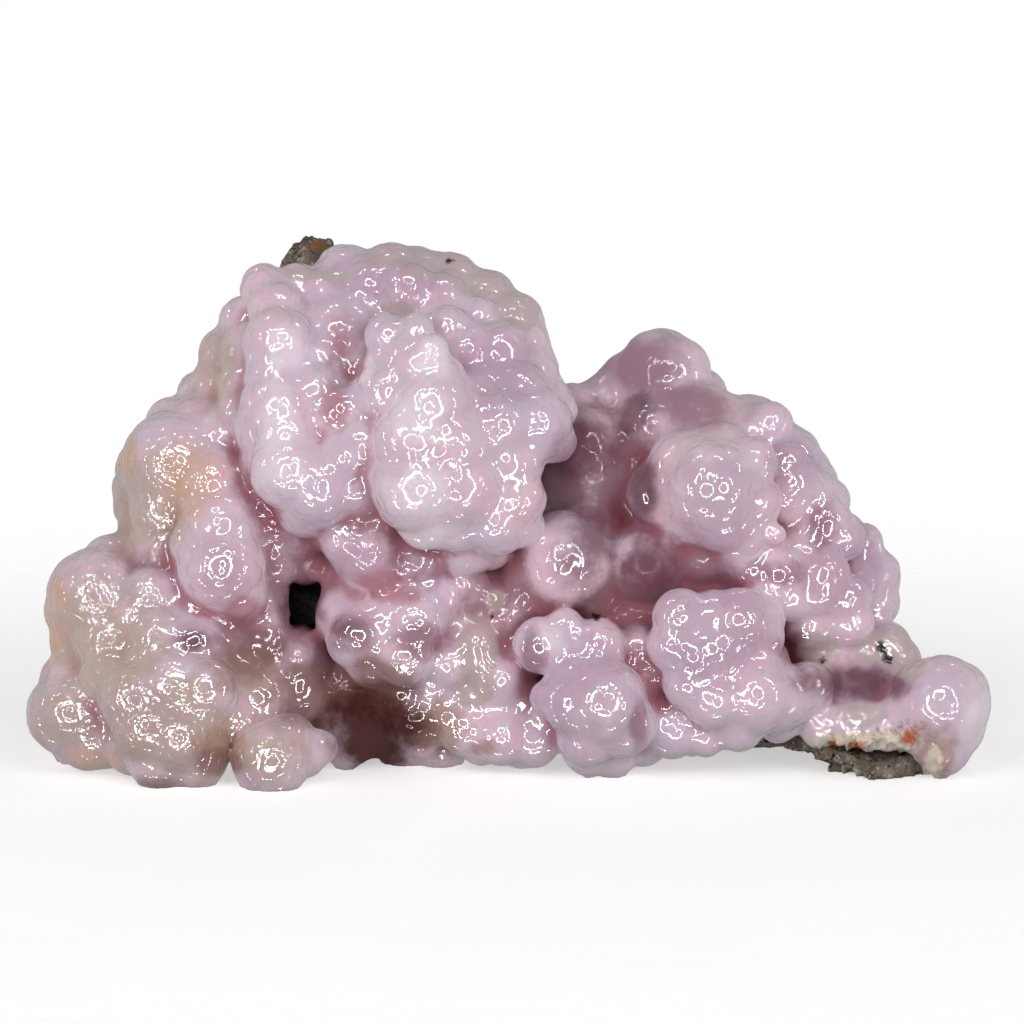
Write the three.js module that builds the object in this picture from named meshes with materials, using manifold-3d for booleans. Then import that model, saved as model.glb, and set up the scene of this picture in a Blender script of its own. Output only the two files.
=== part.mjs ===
// Pink botryoidal smithsonite grown as a lumpy crust over a dark chunk of host rock.
// Millimetres, +Z up. The specimen stands on a flat base at z = 0 and shows its display face towards -Y.
import * as THREE from 'three';
import { MarchingCubes } from 'three/addons/objects/MarchingCubes.js';
import { mergeVertices } from 'three/addons/utils/BufferGeometryUtils.js';
import Module from 'manifold-3d';

const wasm = await Module();
wasm.setup();

// ---------------------------------------------------------------- driving dimensions
const LEAN = THREE.MathUtils.degToRad(10); // the display face leans back from the vertical
const SHIFT_X = 0.2; // moves the middle of the specimen's width onto x = 0
const SHIFT_Y = -6.4; // moves the middle of its depth onto y = 0
const GAP = 0.32; // hairline seam between the crust and the rock
const MELT = 0.5; // how softly neighbouring lobes run together
const CELL = 2.4; // grid that the crust's skin is drawn on
const CELLS = 46; // number of those cells along each edge of the grid
const FIELD_MIDDLE = new THREE.Vector3(0, 25, -1); // middle of the grid, in display-face axes
const CORNER_CLEARANCE = 0.04; // least distance of the skin from a corner of the grid
const MAX_TRIANGLES = 30000; // room that the skin may take
const FLATNESS = 0.795; // a dodecahedron's face lies this far from its middle, its corners 1
const CUTTER = 90; // size of the blocks that flatten the base and break the back

// The display face has its own axes: u across, v up along the face, w out of it towards the viewer.
// Every lobe of the crust is a ball [u, v, w, radius] that melts into its neighbours.

const LOBES = {
  crown: [
    // left column, from the rim down to the lip
    [-24.6, 48.0, 1.4, 2.8], [-23.6, 46.0, 3.4, 3.0], [-23.2, 42.6, 5.6, 3.8], [-23.6, 39.4, 6.0, 3.2],
    [-23.2, 36.2, 6.6, 4.0], [-24.4, 34.0, 5.6, 3.4], [-22.4, 33.2, 8.0, 3.2], [-22.0, 30.0, 8.0, 4.2],
    [-19.2, 28.2, 7.6, 4.2], [-24.2, 31.0, 5.4, 3.0], [-20.4, 26.2, 6.4, 3.2],
    // oval cell and the saddle beside it
    [-16.6, 31.2, 9.0, 2.7], [-16.8, 35.4, 6.8, 3.4], [-14.6, 32.8, 7.6, 3.4], [-14.0, 36.4, 7.0, 3.2],
    [-19.4, 37.6, 5.6, 3.6], [-15.2, 28.4, 6.8, 3.6],
    // smooth wall of the valley between the column and the front cluster
    [-17.4, 43.6, 1.8, 4.4], [-19.0, 40.6, 4.0, 3.4], [-14.6, 40.4, 4.6, 2.6],
    // front cluster: knobs on its left, the sharp ridge, then the big bright front
    [-12.2, 43.2, 8.2, 2.6], [-12.6, 40.6, 8.4, 2.2], [-12.4, 37.8, 9.0, 3.2], [-9.4, 43.6, 9.8, 2.1],
    [-8.2, 41.4, 10.8, 2.4], [-6.8, 39.2, 10.8, 2.4], [-5.4, 37.2, 10.4, 2.4], [-9.6, 40.4, 9.4, 3.4],
    [-8.0, 36.2, 10.8, 4.2], [-9.8, 32.8, 10.8, 4.3], [-11.2, 30.0, 10.2, 3.2], [-9.4, 28.2, 10.8, 4.7],
    [-5.6, 32.0, 10.4, 4.2], [-5.2, 28.2, 9.8, 4.5], [-8.2, 25.6, 9.0, 3.8], [-5.4, 25.4, 8.2, 3.8],
    // lower ground to the right of the ridge, and the right-hand lobes
    [-4.2, 41.8, 5.4, 3.2], [-1.0, 41.8, 4.6, 3.2], [-6.4, 43.8, 5.2, 2.8], [-3.0, 37.6, 7.0, 3.4],
    [0.6, 37.6, 6.6, 3.4], [-1.4, 34.2, 8.6, 4.3], [2.2, 34.6, 7.8, 3.9], [4.2, 32.8, 7.0, 2.4],
    [-0.2, 30.6, 8.2, 3.6], [0.4, 27.0, 8.6, 3.2], [-1.6, 25.0, 7.8, 3.8], [0.8, 24.6, 7.0, 2.6],
    [-4.6, 21.9, 5.4, 2.7], [-2.2, 22.2, 5.0, 2.4],
    // top rim
    [-21.4, 47.8, -0.4, 3.2], [-16.6, 49.4, -1.0, 3.5], [-12.2, 49.5, 0.6, 3.5], [-9.6, 49.2, -0.8, 3.5],
    [-6.4, 48.6, -1.4, 3.6], [-2.8, 46.8, -1.2, 3.6], [0.0, 44.6, 0.2, 3.5], [1.0, 42.2, 1.4, 3.3],
    [1.6, 39.8, 2.0, 3.4], [3.4, 37.0, 3.0, 2.8], [4.8, 35.8, 3.4, 2.0], [-14.4, 48.8, 2.2, 2.5],
    [-10.6, 48.2, 2.8, 3.0], [-6.8, 47.2, 1.8, 2.8], [-18.4, 47.6, 1.0, 2.8], [-3.4, 45.0, 2.4, 2.6],
    [-11.2, 45.6, 1.4, 3.2], [-15.4, 45.4, 0.8, 3.6], [-7.4, 45.0, 2.8, 2.8],
    // behind the rim
    [-27.0, 40.0, -7.0, 4.0], [-24.0, 44.0, -6.5, 4.2], [-16.5, 46.4, -7.0, 4.2], [-11.5, 46.6, -6.5, 4.4],
    [-6.0, 45.4, -7.0, 4.2], [-1.5, 42.6, -6.5, 4.2], [0.4, 38.0, -6.0, 4.0], [2.0, 33.0, -6.0, 3.8],
    // left flank
    [-26.6, 44.8, -1.6, 3.0], [-28.6, 41.6, -2.4, 3.1], [-29.0, 38.8, -2.0, 3.2], [-31.4, 37.8, -3.4, 2.5],
    [-26.4, 42.0, 1.6, 3.0], [-26.6, 38.6, 2.2, 3.0], [-26.6, 35.6, 2.6, 3.0],
    // underside of the lip
    [-14.4, 21.6, 5.0, 3.8], [-16.6, 23.4, 5.4, 2.2], [-12.6, 19.6, 4.4, 2.8], [-9.6, 21.0, 3.8, 3.6],
    [-17.8, 24.6, 4.0, 3.0], [-21.8, 23.6, 2.6, 3.2],
  ],
  shoulder: [
    [-33.4, 30.4, 0.2, 5.9], [-36.4, 30.0, -1.8, 3.6], [-31.6, 33.6, -0.8, 4.0], [-34.0, 34.6, -2.6, 3.0],
    [-28.8, 33.2, 1.0, 3.6], [-37.8, 28.2, -4.4, 2.7], [-37.8, 26.4, -4.2, 2.6], [-35.0, 26.0, 1.4, 3.4],
    [-37.0, 24.6, -2.4, 2.8], [-30.0, 28.6, 3.2, 4.2],
    // hanging lobe beside the vug
    [-29.0, 24.4, 5.0, 4.2], [-28.8, 20.4, 5.8, 4.6], [-31.4, 22.6, 5.2, 2.8], [-27.4, 18.0, 4.8, 3.4],
    [-25.8, 24.4, 3.0, 3.4], [-24.8, 27.6, 2.6, 3.6], [-23.8, 20.4, 1.2, 3.8], [-25.2, 17.2, 2.0, 3.2],
    [-19.4, 20.2, 0.6, 2.6],
    // behind
    [-31.0, 34.5, -8.0, 4.2], [-34.4, 29.0, -9.0, 3.8], [-34.0, 24.5, -8.6, 3.6],
  ],
  foot: [
    // upper left ball and its neighbours
    [-41.4, 17.2, 1.0, 5.3], [-43.6, 16.0, 0.2, 3.4], [-40.2, 20.8, -0.6, 3.0], [-38.0, 21.4, -1.2, 3.0],
    [-43.2, 13.0, 0.0, 3.3], [-40.4, 13.0, 3.4, 3.4], [-35.8, 17.6, 3.6, 3.2], [-37.6, 15.2, 4.2, 3.0],
    [-35.0, 13.4, 5.6, 3.2], [-32.4, 15.4, 3.4, 3.2],
    // lower left ball
    [-43.8, 5.8, 2.4, 4.7], [-43.8, 8.8, 1.0, 3.6], [-42.2, 3.4, 2.6, 3.6], [-40.4, 3.2, 3.0, 3.2],
    [-39.8, 9.4, 4.8, 3.4],
    // front group
    [-37.4, 7.4, 7.6, 3.9], [-36.0, 4.6, 8.4, 3.8], [-33.0, 3.6, 9.0, 3.6], [-33.6, 8.8, 7.8, 3.4],
    [-30.4, 8.2, 8.0, 3.6], [-31.4, 5.2, 8.2, 3.0], [-35.6, 10.8, 6.4, 3.0], [-34.8, 1.6, 7.0, 3.6],
    [-31.4, 1.8, 6.8, 3.6], [-37.6, 2.4, 5.0, 3.0],
    // ball at the front of the base
    [-23.8, 1.4, 7.4, 4.2], [-22.0, 3.4, 7.0, 2.8], [-19.0, 2.5, 5.8, 2.0], [-20.6, 1.8, 6.0, 2.6],
    // slope up to the vug
    [-28.6, 12.0, 3.8, 3.0], [-27.2, 9.4, 4.4, 3.0], [-24.0, 12.0, 3.0, 2.1], [-20.6, 11.0, 3.0, 2.5],
    [-25.2, 7.2, 3.2, 3.4], [-22.0, 8.0, 1.0, 3.4], [-31.0, 12.8, 4.6, 3.2], [-28.0, 5.4, 4.4, 3.4],
    [-28.6, 15.0, 2.6, 3.2],
    // behind
    [-42.0, 14.4, -5.5, 4.4], [-39.4, 18.6, -6.0, 3.8], [-43.6, 8.0, -4.5, 4.2], [-43.0, 3.0, -4.0, 3.6],
    [-41.0, 12.0, -9.0, 4.2], [-42.0, 6.0, -9.0, 4.0], [-38.0, 4.0, -10.0, 4.0],
  ],
  middle: [
    [-15.2, 13.4, 5.0, 3.6], [-17.0, 15.6, 2.6, 3.2], [-12.6, 15.2, 4.4, 3.2], [-9.8, 15.2, 5.4, 3.5],
    [-10.8, 11.4, 5.4, 3.3], [-13.8, 11.0, 4.0, 3.0], [-7.2, 17.0, 4.4, 2.6], [-4.6, 18.6, 3.0, 2.6],
    [-6.4, 10.8, 3.4, 3.0], [-8.0, 8.2, 2.6, 2.6],
    // shaded hollow under the middle
    [-10.0, 5.4, 2.2, 2.4], [-9.2, 3.2, 0.8, 2.4], [-7.0, 5.6, 1.6, 3.0], [-16.0, 8.6, -1.0, 3.4],
    [-11.6, 8.2, 1.0, 3.0], [-18.0, 6.0, -2.6, 3.4], [-13.8, 4.6, -4.0, 3.6], [-16.4, 3.0, -0.6, 3.0],
    [-13.4, 3.8, -1.6, 2.9],
    // grey-green oval and the small lobes round it
    [-3.4, 12.8, 4.4, 2.2], [-3.0, 10.8, 4.6, 2.1], [-1.2, 9.2, 4.2, 2.8], [1.2, 11.4, 3.0, 2.6],
    [0.8, 16.6, 3.2, 2.1], [3.4, 16.8, 2.4, 2.2], [-2.0, 17.2, 3.2, 1.7], [-1.0, 14.4, 2.8, 2.4],
    [-3.4, 7.6, 2.6, 2.6],
    // lower edge
    [-4.8, 4.0, 2.4, 2.8], [-1.0, 3.6, 3.0, 3.3], [2.2, 3.0, 2.6, 2.9], [-3.0, 3.0, 1.6, 2.7],
    [0.8, 2.8, 1.8, 2.8], [3.6, 5.6, 3.0, 2.8],
  ],
  valley: [
    [5.4, 22.0, 2.0, 4.9], [2.4, 20.6, 0.8, 3.8], [7.6, 24.0, 0.6, 3.6], [8.4, 20.0, 1.6, 3.4],
    [4.6, 18.6, 1.4, 3.4], [8.4, 17.4, 1.2, 2.8], [13.6, 21.2, -1.0, 4.2], [11.8, 17.8, -0.4, 3.0],
    [15.6, 17.8, 0.0, 3.4], [11.2, 25.2, -2.6, 3.4], [7.8, 32.4, -1.6, 4.2], [8.4, 29.8, -1.4, 4.4],
    [5.8, 28.0, -2.6, 4.0], [12.6, 34.4, -3.0, 3.4], [12.8, 31.2, -2.2, 3.4], [6.2, 35.4, -4.4, 3.6],
    [14.2, 27.6, -1.0, 3.6], [6.5, 33.5, -9.0, 4.6],
  ],
  ridge: [
    // back dome and the smooth wrinkled saddle in front of it
    [15.0, 39.6, -4.6, 4.8], [12.0, 38.4, -5.2, 3.8], [16.9, 40.3, -4.0, 2.8], [9.4, 36.6, -5.6, 3.4],
    [18.0, 38.8, -3.4, 2.3], [18.6, 33.0, -1.6, 6.0], [23.6, 32.8, -2.4, 5.0], [14.4, 34.6, -1.6, 4.2],
    [16.4, 36.6, -2.6, 3.2], [27.4, 31.2, -2.0, 3.8], [26.0, 34.0, -2.4, 2.6],
    // front block
    [19.8, 28.0, 6.4, 5.4], [17.2, 30.0, 4.6, 4.2], [15.4, 27.6, 3.6, 4.2], [20.6, 32.2, 4.4, 3.0],
    [23.6, 30.6, 6.0, 3.0], [24.2, 26.8, 6.8, 2.8], [21.0, 25.4, 6.8, 3.8], [17.8, 25.6, 5.0, 3.6],
    [23.0, 23.9, 6.2, 2.6], [26.0, 23.6, 6.8, 1.4],
    // steps down the right edge
    [25.8, 34.6, 1.0, 2.5], [24.0, 33.8, 1.6, 2.4], [27.2, 30.6, 2.8, 2.6], [28.6, 28.8, 2.2, 2.6],
    [27.0, 27.2, 2.0, 2.8], [29.8, 29.8, -1.2, 2.6], [30.2, 27.8, 1.2, 2.6], [31.8, 27.0, -0.6, 2.4],
    [31.4, 24.8, 1.4, 2.8], [33.0, 23.2, 0.8, 2.6], [31.2, 22.6, 1.6, 2.4], [28.6, 24.6, 0.0, 3.0],
    [31.2, 19.8, 3.2, 2.7], [30.6, 17.8, 3.4, 2.6], [33.4, 17.2, 1.6, 2.8], [33.8, 14.8, 1.2, 2.6],
    [32.4, 14.8, 0.6, 2.6], [35.0, 22.4, -3.4, 2.6], [36.2, 19.4, -4.2, 3.2], [36.4, 16.8, -4.4, 2.7],
    [34.4, 18.6, -2.6, 3.0],
    // ground below the front block
    [22.0, 22.4, 4.0, 3.4], [19.0, 21.8, 3.0, 3.4], [26.4, 19.4, 4.0, 3.2], [23.6, 20.2, 3.4, 2.8],
    [27.8, 17.2, 3.8, 2.6], [25.4, 21.2, 2.6, 3.0], [29.6, 14.8, 1.2, 3.0],
    // behind
    [12.0, 35.6, -10.5, 4.6], [17.5, 37.0, -10.0, 4.8], [24.0, 32.0, -8.8, 4.8], [29.0, 28.4, -8.4, 4.1],
    [32.4, 22.4, -9.4, 4.0], [35.6, 16.8, -9.0, 3.8],
  ],
  skirt: [
    // left group with the big bright ball
    [3.0, 12.6, 6.6, 3.1], [5.2, 14.2, 6.0, 2.4], [8.6, 12.4, 6.2, 3.1], [6.2, 10.4, 7.0, 2.6],
    [9.0, 7.0, 8.0, 4.6], [6.2, 6.6, 8.4, 3.2], [4.0, 7.4, 7.6, 2.4], [10.8, 4.8, 7.0, 3.6],
    [7.4, 3.6, 6.8, 3.2], [7.6, 2.4, 3.8, 3.0], [10.0, 2.2, 2.8, 3.0], [12.6, 12.4, 4.6, 2.6],
    [12.8, 9.6, 4.2, 2.8], [13.4, 5.0, 3.4, 3.4], [13.0, 3.2, 2.0, 3.0],
    // right group
    [16.8, 15.4, 7.4, 3.1], [16.0, 12.6, 7.4, 2.9], [19.8, 15.4, 6.8, 3.0], [22.6, 15.0, 7.0, 3.6],
    [25.2, 15.4, 6.6, 2.2], [25.4, 13.2, 6.6, 1.9], [18.0, 11.4, 7.2, 3.2], [20.6, 12.4, 6.8, 3.2],
    [17.4, 8.8, 6.8, 2.8], [20.0, 7.2, 6.8, 3.2], [24.0, 7.6, 5.6, 4.2], [26.6, 7.4, 4.4, 3.6],
    [24.6, 10.8, 4.6, 3.2], [22.4, 5.0, 4.6, 3.2], [19.2, 3.7, 4.0, 2.5], [16.0, 4.2, 4.0, 3.2],
    [18.0, 3.6, 1.0, 2.4], [26.6, 5.2, 2.4, 2.6], [29.2, 8.2, 3.2, 3.0],
  ],
  shelf: [
    [34.6, 7.6, -0.6, 3.8], [32.0, 9.2, -0.6, 3.2], [37.4, 8.4, -0.8, 3.0],
    // pale lip over the rock
    [30.8, 5.0, 2.2, 2.6], [33.4, 5.2, 3.4, 2.1], [35.6, 5.0, 3.4, 1.9], [40.0, 4.6, 2.6, 2.6],
    // weathered pale lobes at the back of the shelf
    [37.6, 12.2, -2.8, 2.9], [39.2, 11.0, -2.0, 2.2], [35.6, 11.8, -2.0, 2.6], [29.8, 12.4, -1.4, 2.9],
    [31.6, 11.2, -1.2, 2.3], [33.6, 12.0, -4.0, 3.2], [38.0, 9.4, -7.4, 3.8], [38.0, 5.0, -7.0, 4.0],
  ],
  toe: [
    [42.7, 6.7, 4.2, 5.1], [44.2, 7.6, 3.2, 3.6], [42.8, 2.6, 4.0, 3.2], [44.0, 4.4, 3.8, 3.3],
    [40.4, 8.0, 3.4, 3.0], [39.4, 6.2, 4.2, 2.4], [37.4, 5.0, 3.8, 2.1], [41.0, 6.4, -2.0, 4.4],
  ],
};

// Solid cores behind the lobes: [u, v, w, radius u, radius v, radius w].
const CORES = [
  [-12, 35, -5, 15, 13, 9], // crown
  [-32, 26, -5, 6, 9, 6], // shoulder
  [-33, 9, -3, 11, 9, 7.5], // foot
  [-9, 12, -6, 15, 8, 6.5], // middle
  [8, 20, -4, 9, 13, 6], // valley
  [18, 25, -6, 13, 11, 7], // ridge
  [15, 11, -3, 13, 9, 7.5], // skirt
  [34, 8.5, -4, 8, 4, 5.5], // shelf
  [42, 6, 1, 4, 4, 4], // toe
  [-2, 16, -3, 9, 8, 6], // behind the small lobes of the middle
  [19, 18, -2, 9, 6, 6], // between the ridge and the skirt
];

// Angular chunks of the host rock: middle and radii along u, v and w, and turns about them in degrees.
const ROCK_CHUNKS = [
  { at: [-20.4, 49.6, -4.8], radii: [3.4, 4.7, 3.6], turns: [8, 24, -14] }, // knob that stands out of the rim
  { at: [-18.6, 44.0, -9.0], radii: [5.5, 6.0, 5.0], turns: [0, 30, 10] }, // neck under the knob
  { at: [-14.0, 33.0, -13.5], radii: [17, 15, 9.5], turns: [-6, 8, 8] }, // backing of the crown
  { at: [-14.5, 20.0, -12.5], radii: [22, 14, 10], turns: [4, -5, -5] }, // backing of the middle
  { at: [16.0, 19.0, -13.5], radii: [19, 16, 9.5], turns: [-5, -7, -14] }, // backing of the ridge
  { at: [-28.0, 8.0, -11.0], radii: [17, 11, 10], turns: [-6, 14, 6] }, // left of the base
  { at: [-3.0, 7.5, -12.5], radii: [18, 11, 10], turns: [12, 4, 20] }, // middle of the base
  { at: [20.0, 6.5, -12.0], radii: [20, 10, 10], turns: [5, -12, -4] }, // right of the base
  { at: [-20.6, 16.4, -3.8], radii: [3.4, 4.6, 4.4], turns: [10, 12, 8] }, // floor of the vug
  { at: [37.2, 0.4, -2.8], radii: [7.2, 3.3, 8.8], turns: [6, -10, 6] }, // ledge, thick end
  { at: [31.0, 2.7, -3.6], radii: [8.2, 2.1, 8.2], turns: [4, -6, -8] }, // ledge, thin end
  { at: [29.0, 4.6, -11.0], radii: [11.0, 6.2, 8.0], turns: [0, 12, -5] }, // root of the ledge
];

// The small pit through the crust down to the rock: middle and radii along u, v and w.
const VUG = { at: [-20.7, 16.6, 2.6], radii: [1.5, 2.2, 4.0] };

// Broken faces at the back: a point on each, in x, y and z, and the way it faces.
const BREAKS = [
  { at: [-14, 16.5, 24], facing: [-0.12, 1, 0.16] },
  { at: [20, 15.5, 14], facing: [0.22, 1, 0.24] },
  { at: [-36, 12.5, 10], facing: [-0.5, 1, 0.1] },
  { at: [0, 18.5, 4], facing: [0.05, 1, -0.3] },
];

// ---------------------------------------------------------------- helpers

// Carries display-face axes over to the specimen's own x, y and z.
const FACE_TO_SPECIMEN = new THREE.Matrix4()
  .makeBasis(
    new THREE.Vector3(1, 0, 0),
    new THREE.Vector3(0, Math.sin(LEAN), Math.cos(LEAN)),
    new THREE.Vector3(0, -Math.cos(LEAN), Math.sin(LEAN)),
  )
  .setPosition(SHIFT_X, SHIFT_Y, 0);

/** A closed three.js geometry as a solid that can be joined and cut. */
function solidOf(geometry) {
  const bare = geometry.clone();
  bare.deleteAttribute('normal');
  bare.deleteAttribute('uv');
  const welded = mergeVertices(bare);
  return new wasm.Manifold(new wasm.Mesh({
    numProp: 3,
    vertProperties: new Float32Array(welded.attributes.position.array),
    triVerts: new Uint32Array(welded.index.array),
  }));
}

/** How far a point lies outside an ellipsoid; negative inside it. */
function outside(point, [u, v, w, ru, rv = ru, rw = ru]) {
  const du = (point.x - u) / ru;
  const dv = (point.y - v) / rv;
  const dw = (point.z - w) / rw;
  const scaled = Math.hypot(du, dv, dw);
  const slope = Math.hypot(du / ru, dv / rv, dw / rw) || 1;
  return scaled * (scaled - 1) / slope;
}

/** How deep a point lies inside the crust, where every lobe melts into those it touches. */
function depthInCrust(point, lobes) {
  let sum = 0;
  for (const lobe of lobes) {
    sum += Math.exp(-outside(point, lobe) / MELT);
  }
  return MELT * Math.log(Math.max(sum, Number.MIN_VALUE));
}

/** The largest body of a solid: its outer skin alone, with no hollow left sealed between the lobes. */
function outerSkin(solid) {
  return solid.decompose().reduce((largest, body) => (body.volume() > largest.volume() ? body : largest));
}

/** The whole crust as one solid. */
function growCrust() {
  const lobes = [...Object.values(LOBES).flat(), ...CORES];
  const cubes = new MarchingCubes(CELLS, new THREE.MeshStandardMaterial(), false, false, MAX_TRIANGLES);
  cubes.isolation = 0;
  const point = new THREE.Vector3();
  for (let k = 0; k < CELLS; k++) {
    for (let j = 0; j < CELLS; j++) {
      for (let i = 0; i < CELLS; i++) {
        point.set(i, j, k).subScalar(CELLS / 2).multiplyScalar(CELL).add(FIELD_MIDDLE);
        const depth = depthInCrust(point, lobes);
        // keeps the surface off the corners of the cells, where it would leave sliver triangles
        const clear = Math.sign(depth) * Math.max(Math.abs(depth), CORNER_CLEARANCE);
        cubes.setCell(i, j, k, clear);
      }
    }
  }
  cubes.update();
  const skin = new THREE.BufferGeometry();
  const corners = cubes.geometry.attributes.position.array.slice(0, cubes.count * 3);
  skin.setAttribute('position', new THREE.BufferAttribute(corners, 3));
  skin.scale(CELLS * CELL / 2, CELLS * CELL / 2, CELLS * CELL / 2);
  skin.translate(...FIELD_MIDDLE);
  return outerSkin(solidOf(skin.applyMatrix4(FACE_TO_SPECIMEN)));
}

/** One chunk of rock, made larger all round by a margin. */
function rockChunk({ at, radii, turns }, margin) {
  const chunk = new THREE.DodecahedronGeometry(1);
  const [pitch, yaw, roll] = turns.map(THREE.MathUtils.degToRad);
  chunk.scale(...radii.map((radius) => radius + margin / FLATNESS));
  chunk.rotateX(pitch).rotateY(yaw).rotateZ(roll);
  chunk.translate(...at);
  return solidOf(chunk.applyMatrix4(FACE_TO_SPECIMEN));
}

/** All the chunks joined into one rock. */
function growRock(margin) {
  return ROCK_CHUNKS
    .map((chunk) => rockChunk(chunk, margin))
    .reduce((rock, chunk) => rock.add(chunk));
}

/** The pit as a solid to cut away. */
function growVug() {
  const pit = new THREE.IcosahedronGeometry(1, 2);
  pit.scale(...VUG.radii).translate(...VUG.at);
  return solidOf(pit.applyMatrix4(FACE_TO_SPECIMEN));
}

/** A big block whose near face passes through a point and whose body lies the way it faces. */
function cutter(at, facing) {
  const outward = new THREE.Vector3(...facing).normalize();
  const block = new THREE.BoxGeometry(CUTTER * 2, CUTTER * 2, CUTTER);
  block.translate(0, 0, CUTTER / 2);
  block.applyQuaternion(new THREE.Quaternion().setFromUnitVectors(new THREE.Vector3(0, 0, 1), outward));
  block.translate(...at);
  return solidOf(block);
}

/** The finished solid as a named mesh. */
function meshOf(solid, name, look) {
  const { vertProperties, triVerts } = solid.getMesh();
  const geometry = new THREE.BufferGeometry();
  geometry.setAttribute('position', new THREE.Float32BufferAttribute(vertProperties, 3));
  geometry.setIndex(Array.from(triVerts));
  geometry.computeVertexNormals();
  const mesh = new THREE.Mesh(geometry, new THREE.MeshStandardMaterial(look));
  mesh.name = name;
  return mesh;
}

// ---------------------------------------------------------------- the specimen

const underside = cutter([0, 0, 0], [0, 0, -1]);
const back = BREAKS
  .map(({ at, facing }) => cutter(at, facing))
  .reduce((all, block) => all.add(block));

const rock = growRock(0).subtract(underside).subtract(back);

const crust = growCrust()
  .subtract(growRock(GAP))
  .subtract(growVug())
  .subtract(underside)
  .subtract(back);

const specimen = new THREE.Group();
specimen.name = 'smithsonite_specimen';
specimen.add(meshOf(crust, 'smithsonite_crust', { color: 0xd9b6c6, roughness: 0.18, metalness: 0 }));
specimen.add(meshOf(rock, 'matrix_rock', { color: 0x5c5146, roughness: 0.9, metalness: 0 }));

export default specimen;
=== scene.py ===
"""A pink botryoidal smithsonite specimen grown over dark host rock, standing on a pale table.

The crust and the rock are drawn as fields on a fine grid of millimetres in the display face's own axes:
u runs across the face, v up along it and w out of it. Their skins then get the small knobs, fractures
and stains that show up close, and are carried over to the specimen's x, y and z in metres.
"""

import itertools
import math

import bmesh
import bpy
import numpy as np
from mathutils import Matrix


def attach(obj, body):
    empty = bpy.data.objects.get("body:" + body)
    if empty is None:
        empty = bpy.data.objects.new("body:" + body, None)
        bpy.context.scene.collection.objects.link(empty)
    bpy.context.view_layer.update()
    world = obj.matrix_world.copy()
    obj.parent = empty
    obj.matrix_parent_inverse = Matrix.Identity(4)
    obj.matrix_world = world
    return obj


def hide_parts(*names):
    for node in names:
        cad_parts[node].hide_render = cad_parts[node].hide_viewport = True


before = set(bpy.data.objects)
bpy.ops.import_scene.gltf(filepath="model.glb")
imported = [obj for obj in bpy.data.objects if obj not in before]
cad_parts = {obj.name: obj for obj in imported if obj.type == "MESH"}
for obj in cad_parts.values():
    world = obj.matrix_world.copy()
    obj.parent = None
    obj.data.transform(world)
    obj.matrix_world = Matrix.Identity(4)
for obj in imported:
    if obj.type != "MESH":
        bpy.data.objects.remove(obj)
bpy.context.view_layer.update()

import openvdb
from mathutils import Euler, Matrix, Vector, noise
from mathutils.kdtree import KDTree

# ---------------------------------------------------------------- driving dimensions, lengths in mm

MM = 0.001  # one millimetre in metres
LEAN = math.radians(10)  # the display face leans back from the vertical
SHIFT_X = 0.2  # moves the middle of the specimen's width onto x = 0
SHIFT_Y = -6.4  # moves the middle of its depth onto y = 0

CELL = 0.3  # grid that the skins are drawn on
LOW = np.array([-52.0, -6.0, -30.0])  # lowest corner of the grid: u, v, w
HIGH = np.array([52.0, 57.0, 18.0])  # highest corner of the grid
CLOSE_BY = 6  # how many cells each way show whether a point is walled in
WIDER = 18  # and how many show whether it lies in a recess between groups of lobes

MELT = 0.12  # how softly two neighbouring lobes run together
FILL = 0.8  # how softly they do for the filling where several crowd together
GROOVE = 0.5  # how much of that softness is cut into the crease between two of them
RIND = 0.2  # how softly the grooved lobes and the filling run together
REACH = 2.0  # how far outside itself a lobe still pulls on its neighbours
SEAM = 0.12  # hairline seam between the crust and the rock
BASE_BAND = 0.25  # points below this height belong to the flat base
BREAK_WAVES = 0.4  # height of the waves in a broken face at the back

CRUST_TRIANGLES = 192000  # what the crust is thinned out to
ROCK_TRIANGLES = 90000  # and the rock
EVENING_ROUNDS = 7  # rounds of evening out the crust
EVENING = 0.12  # how far each of them draws a point towards its neighbours' middle
FLOWING = 0.48  # how much further where lobes flow into one another

KNOB_SPACING = 3.0  # mean distance between the small round knobs on the lobes
KNOB_RADIUS = 0.7  # a knob's radius, as a share of its own spacing
KNOB_RISE = 0.22  # how strongly the knobs stand out
SUGARY_RISE = 0.1  # and where the skin is sugary
GRAIN = 1.8  # distance between the polished grains on the knobs
SUGARY_GRAIN = 0.9  # and where the skin is sugary

SPLINTERS = 0.55  # splinters of the bare rock in a millimetre
CHIPS = 0.17  # flat chips broken out of its back in a millimetre
DEEPEST_CHIP = 2.0  # how far in a chip may go

GOLDEN = (1 + math.sqrt(5)) / 2  # golden ratio, which sets the tilt of a dodecahedron's faces
FLATNESS = 0.7947  # a dodecahedron's face lies this far from its middle, its corners 1
HIGHEST_POWER = 80.0  # e to a greater power than this is too big for the grid's numbers

# ---------------------------------------------------------------- the growth

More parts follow.
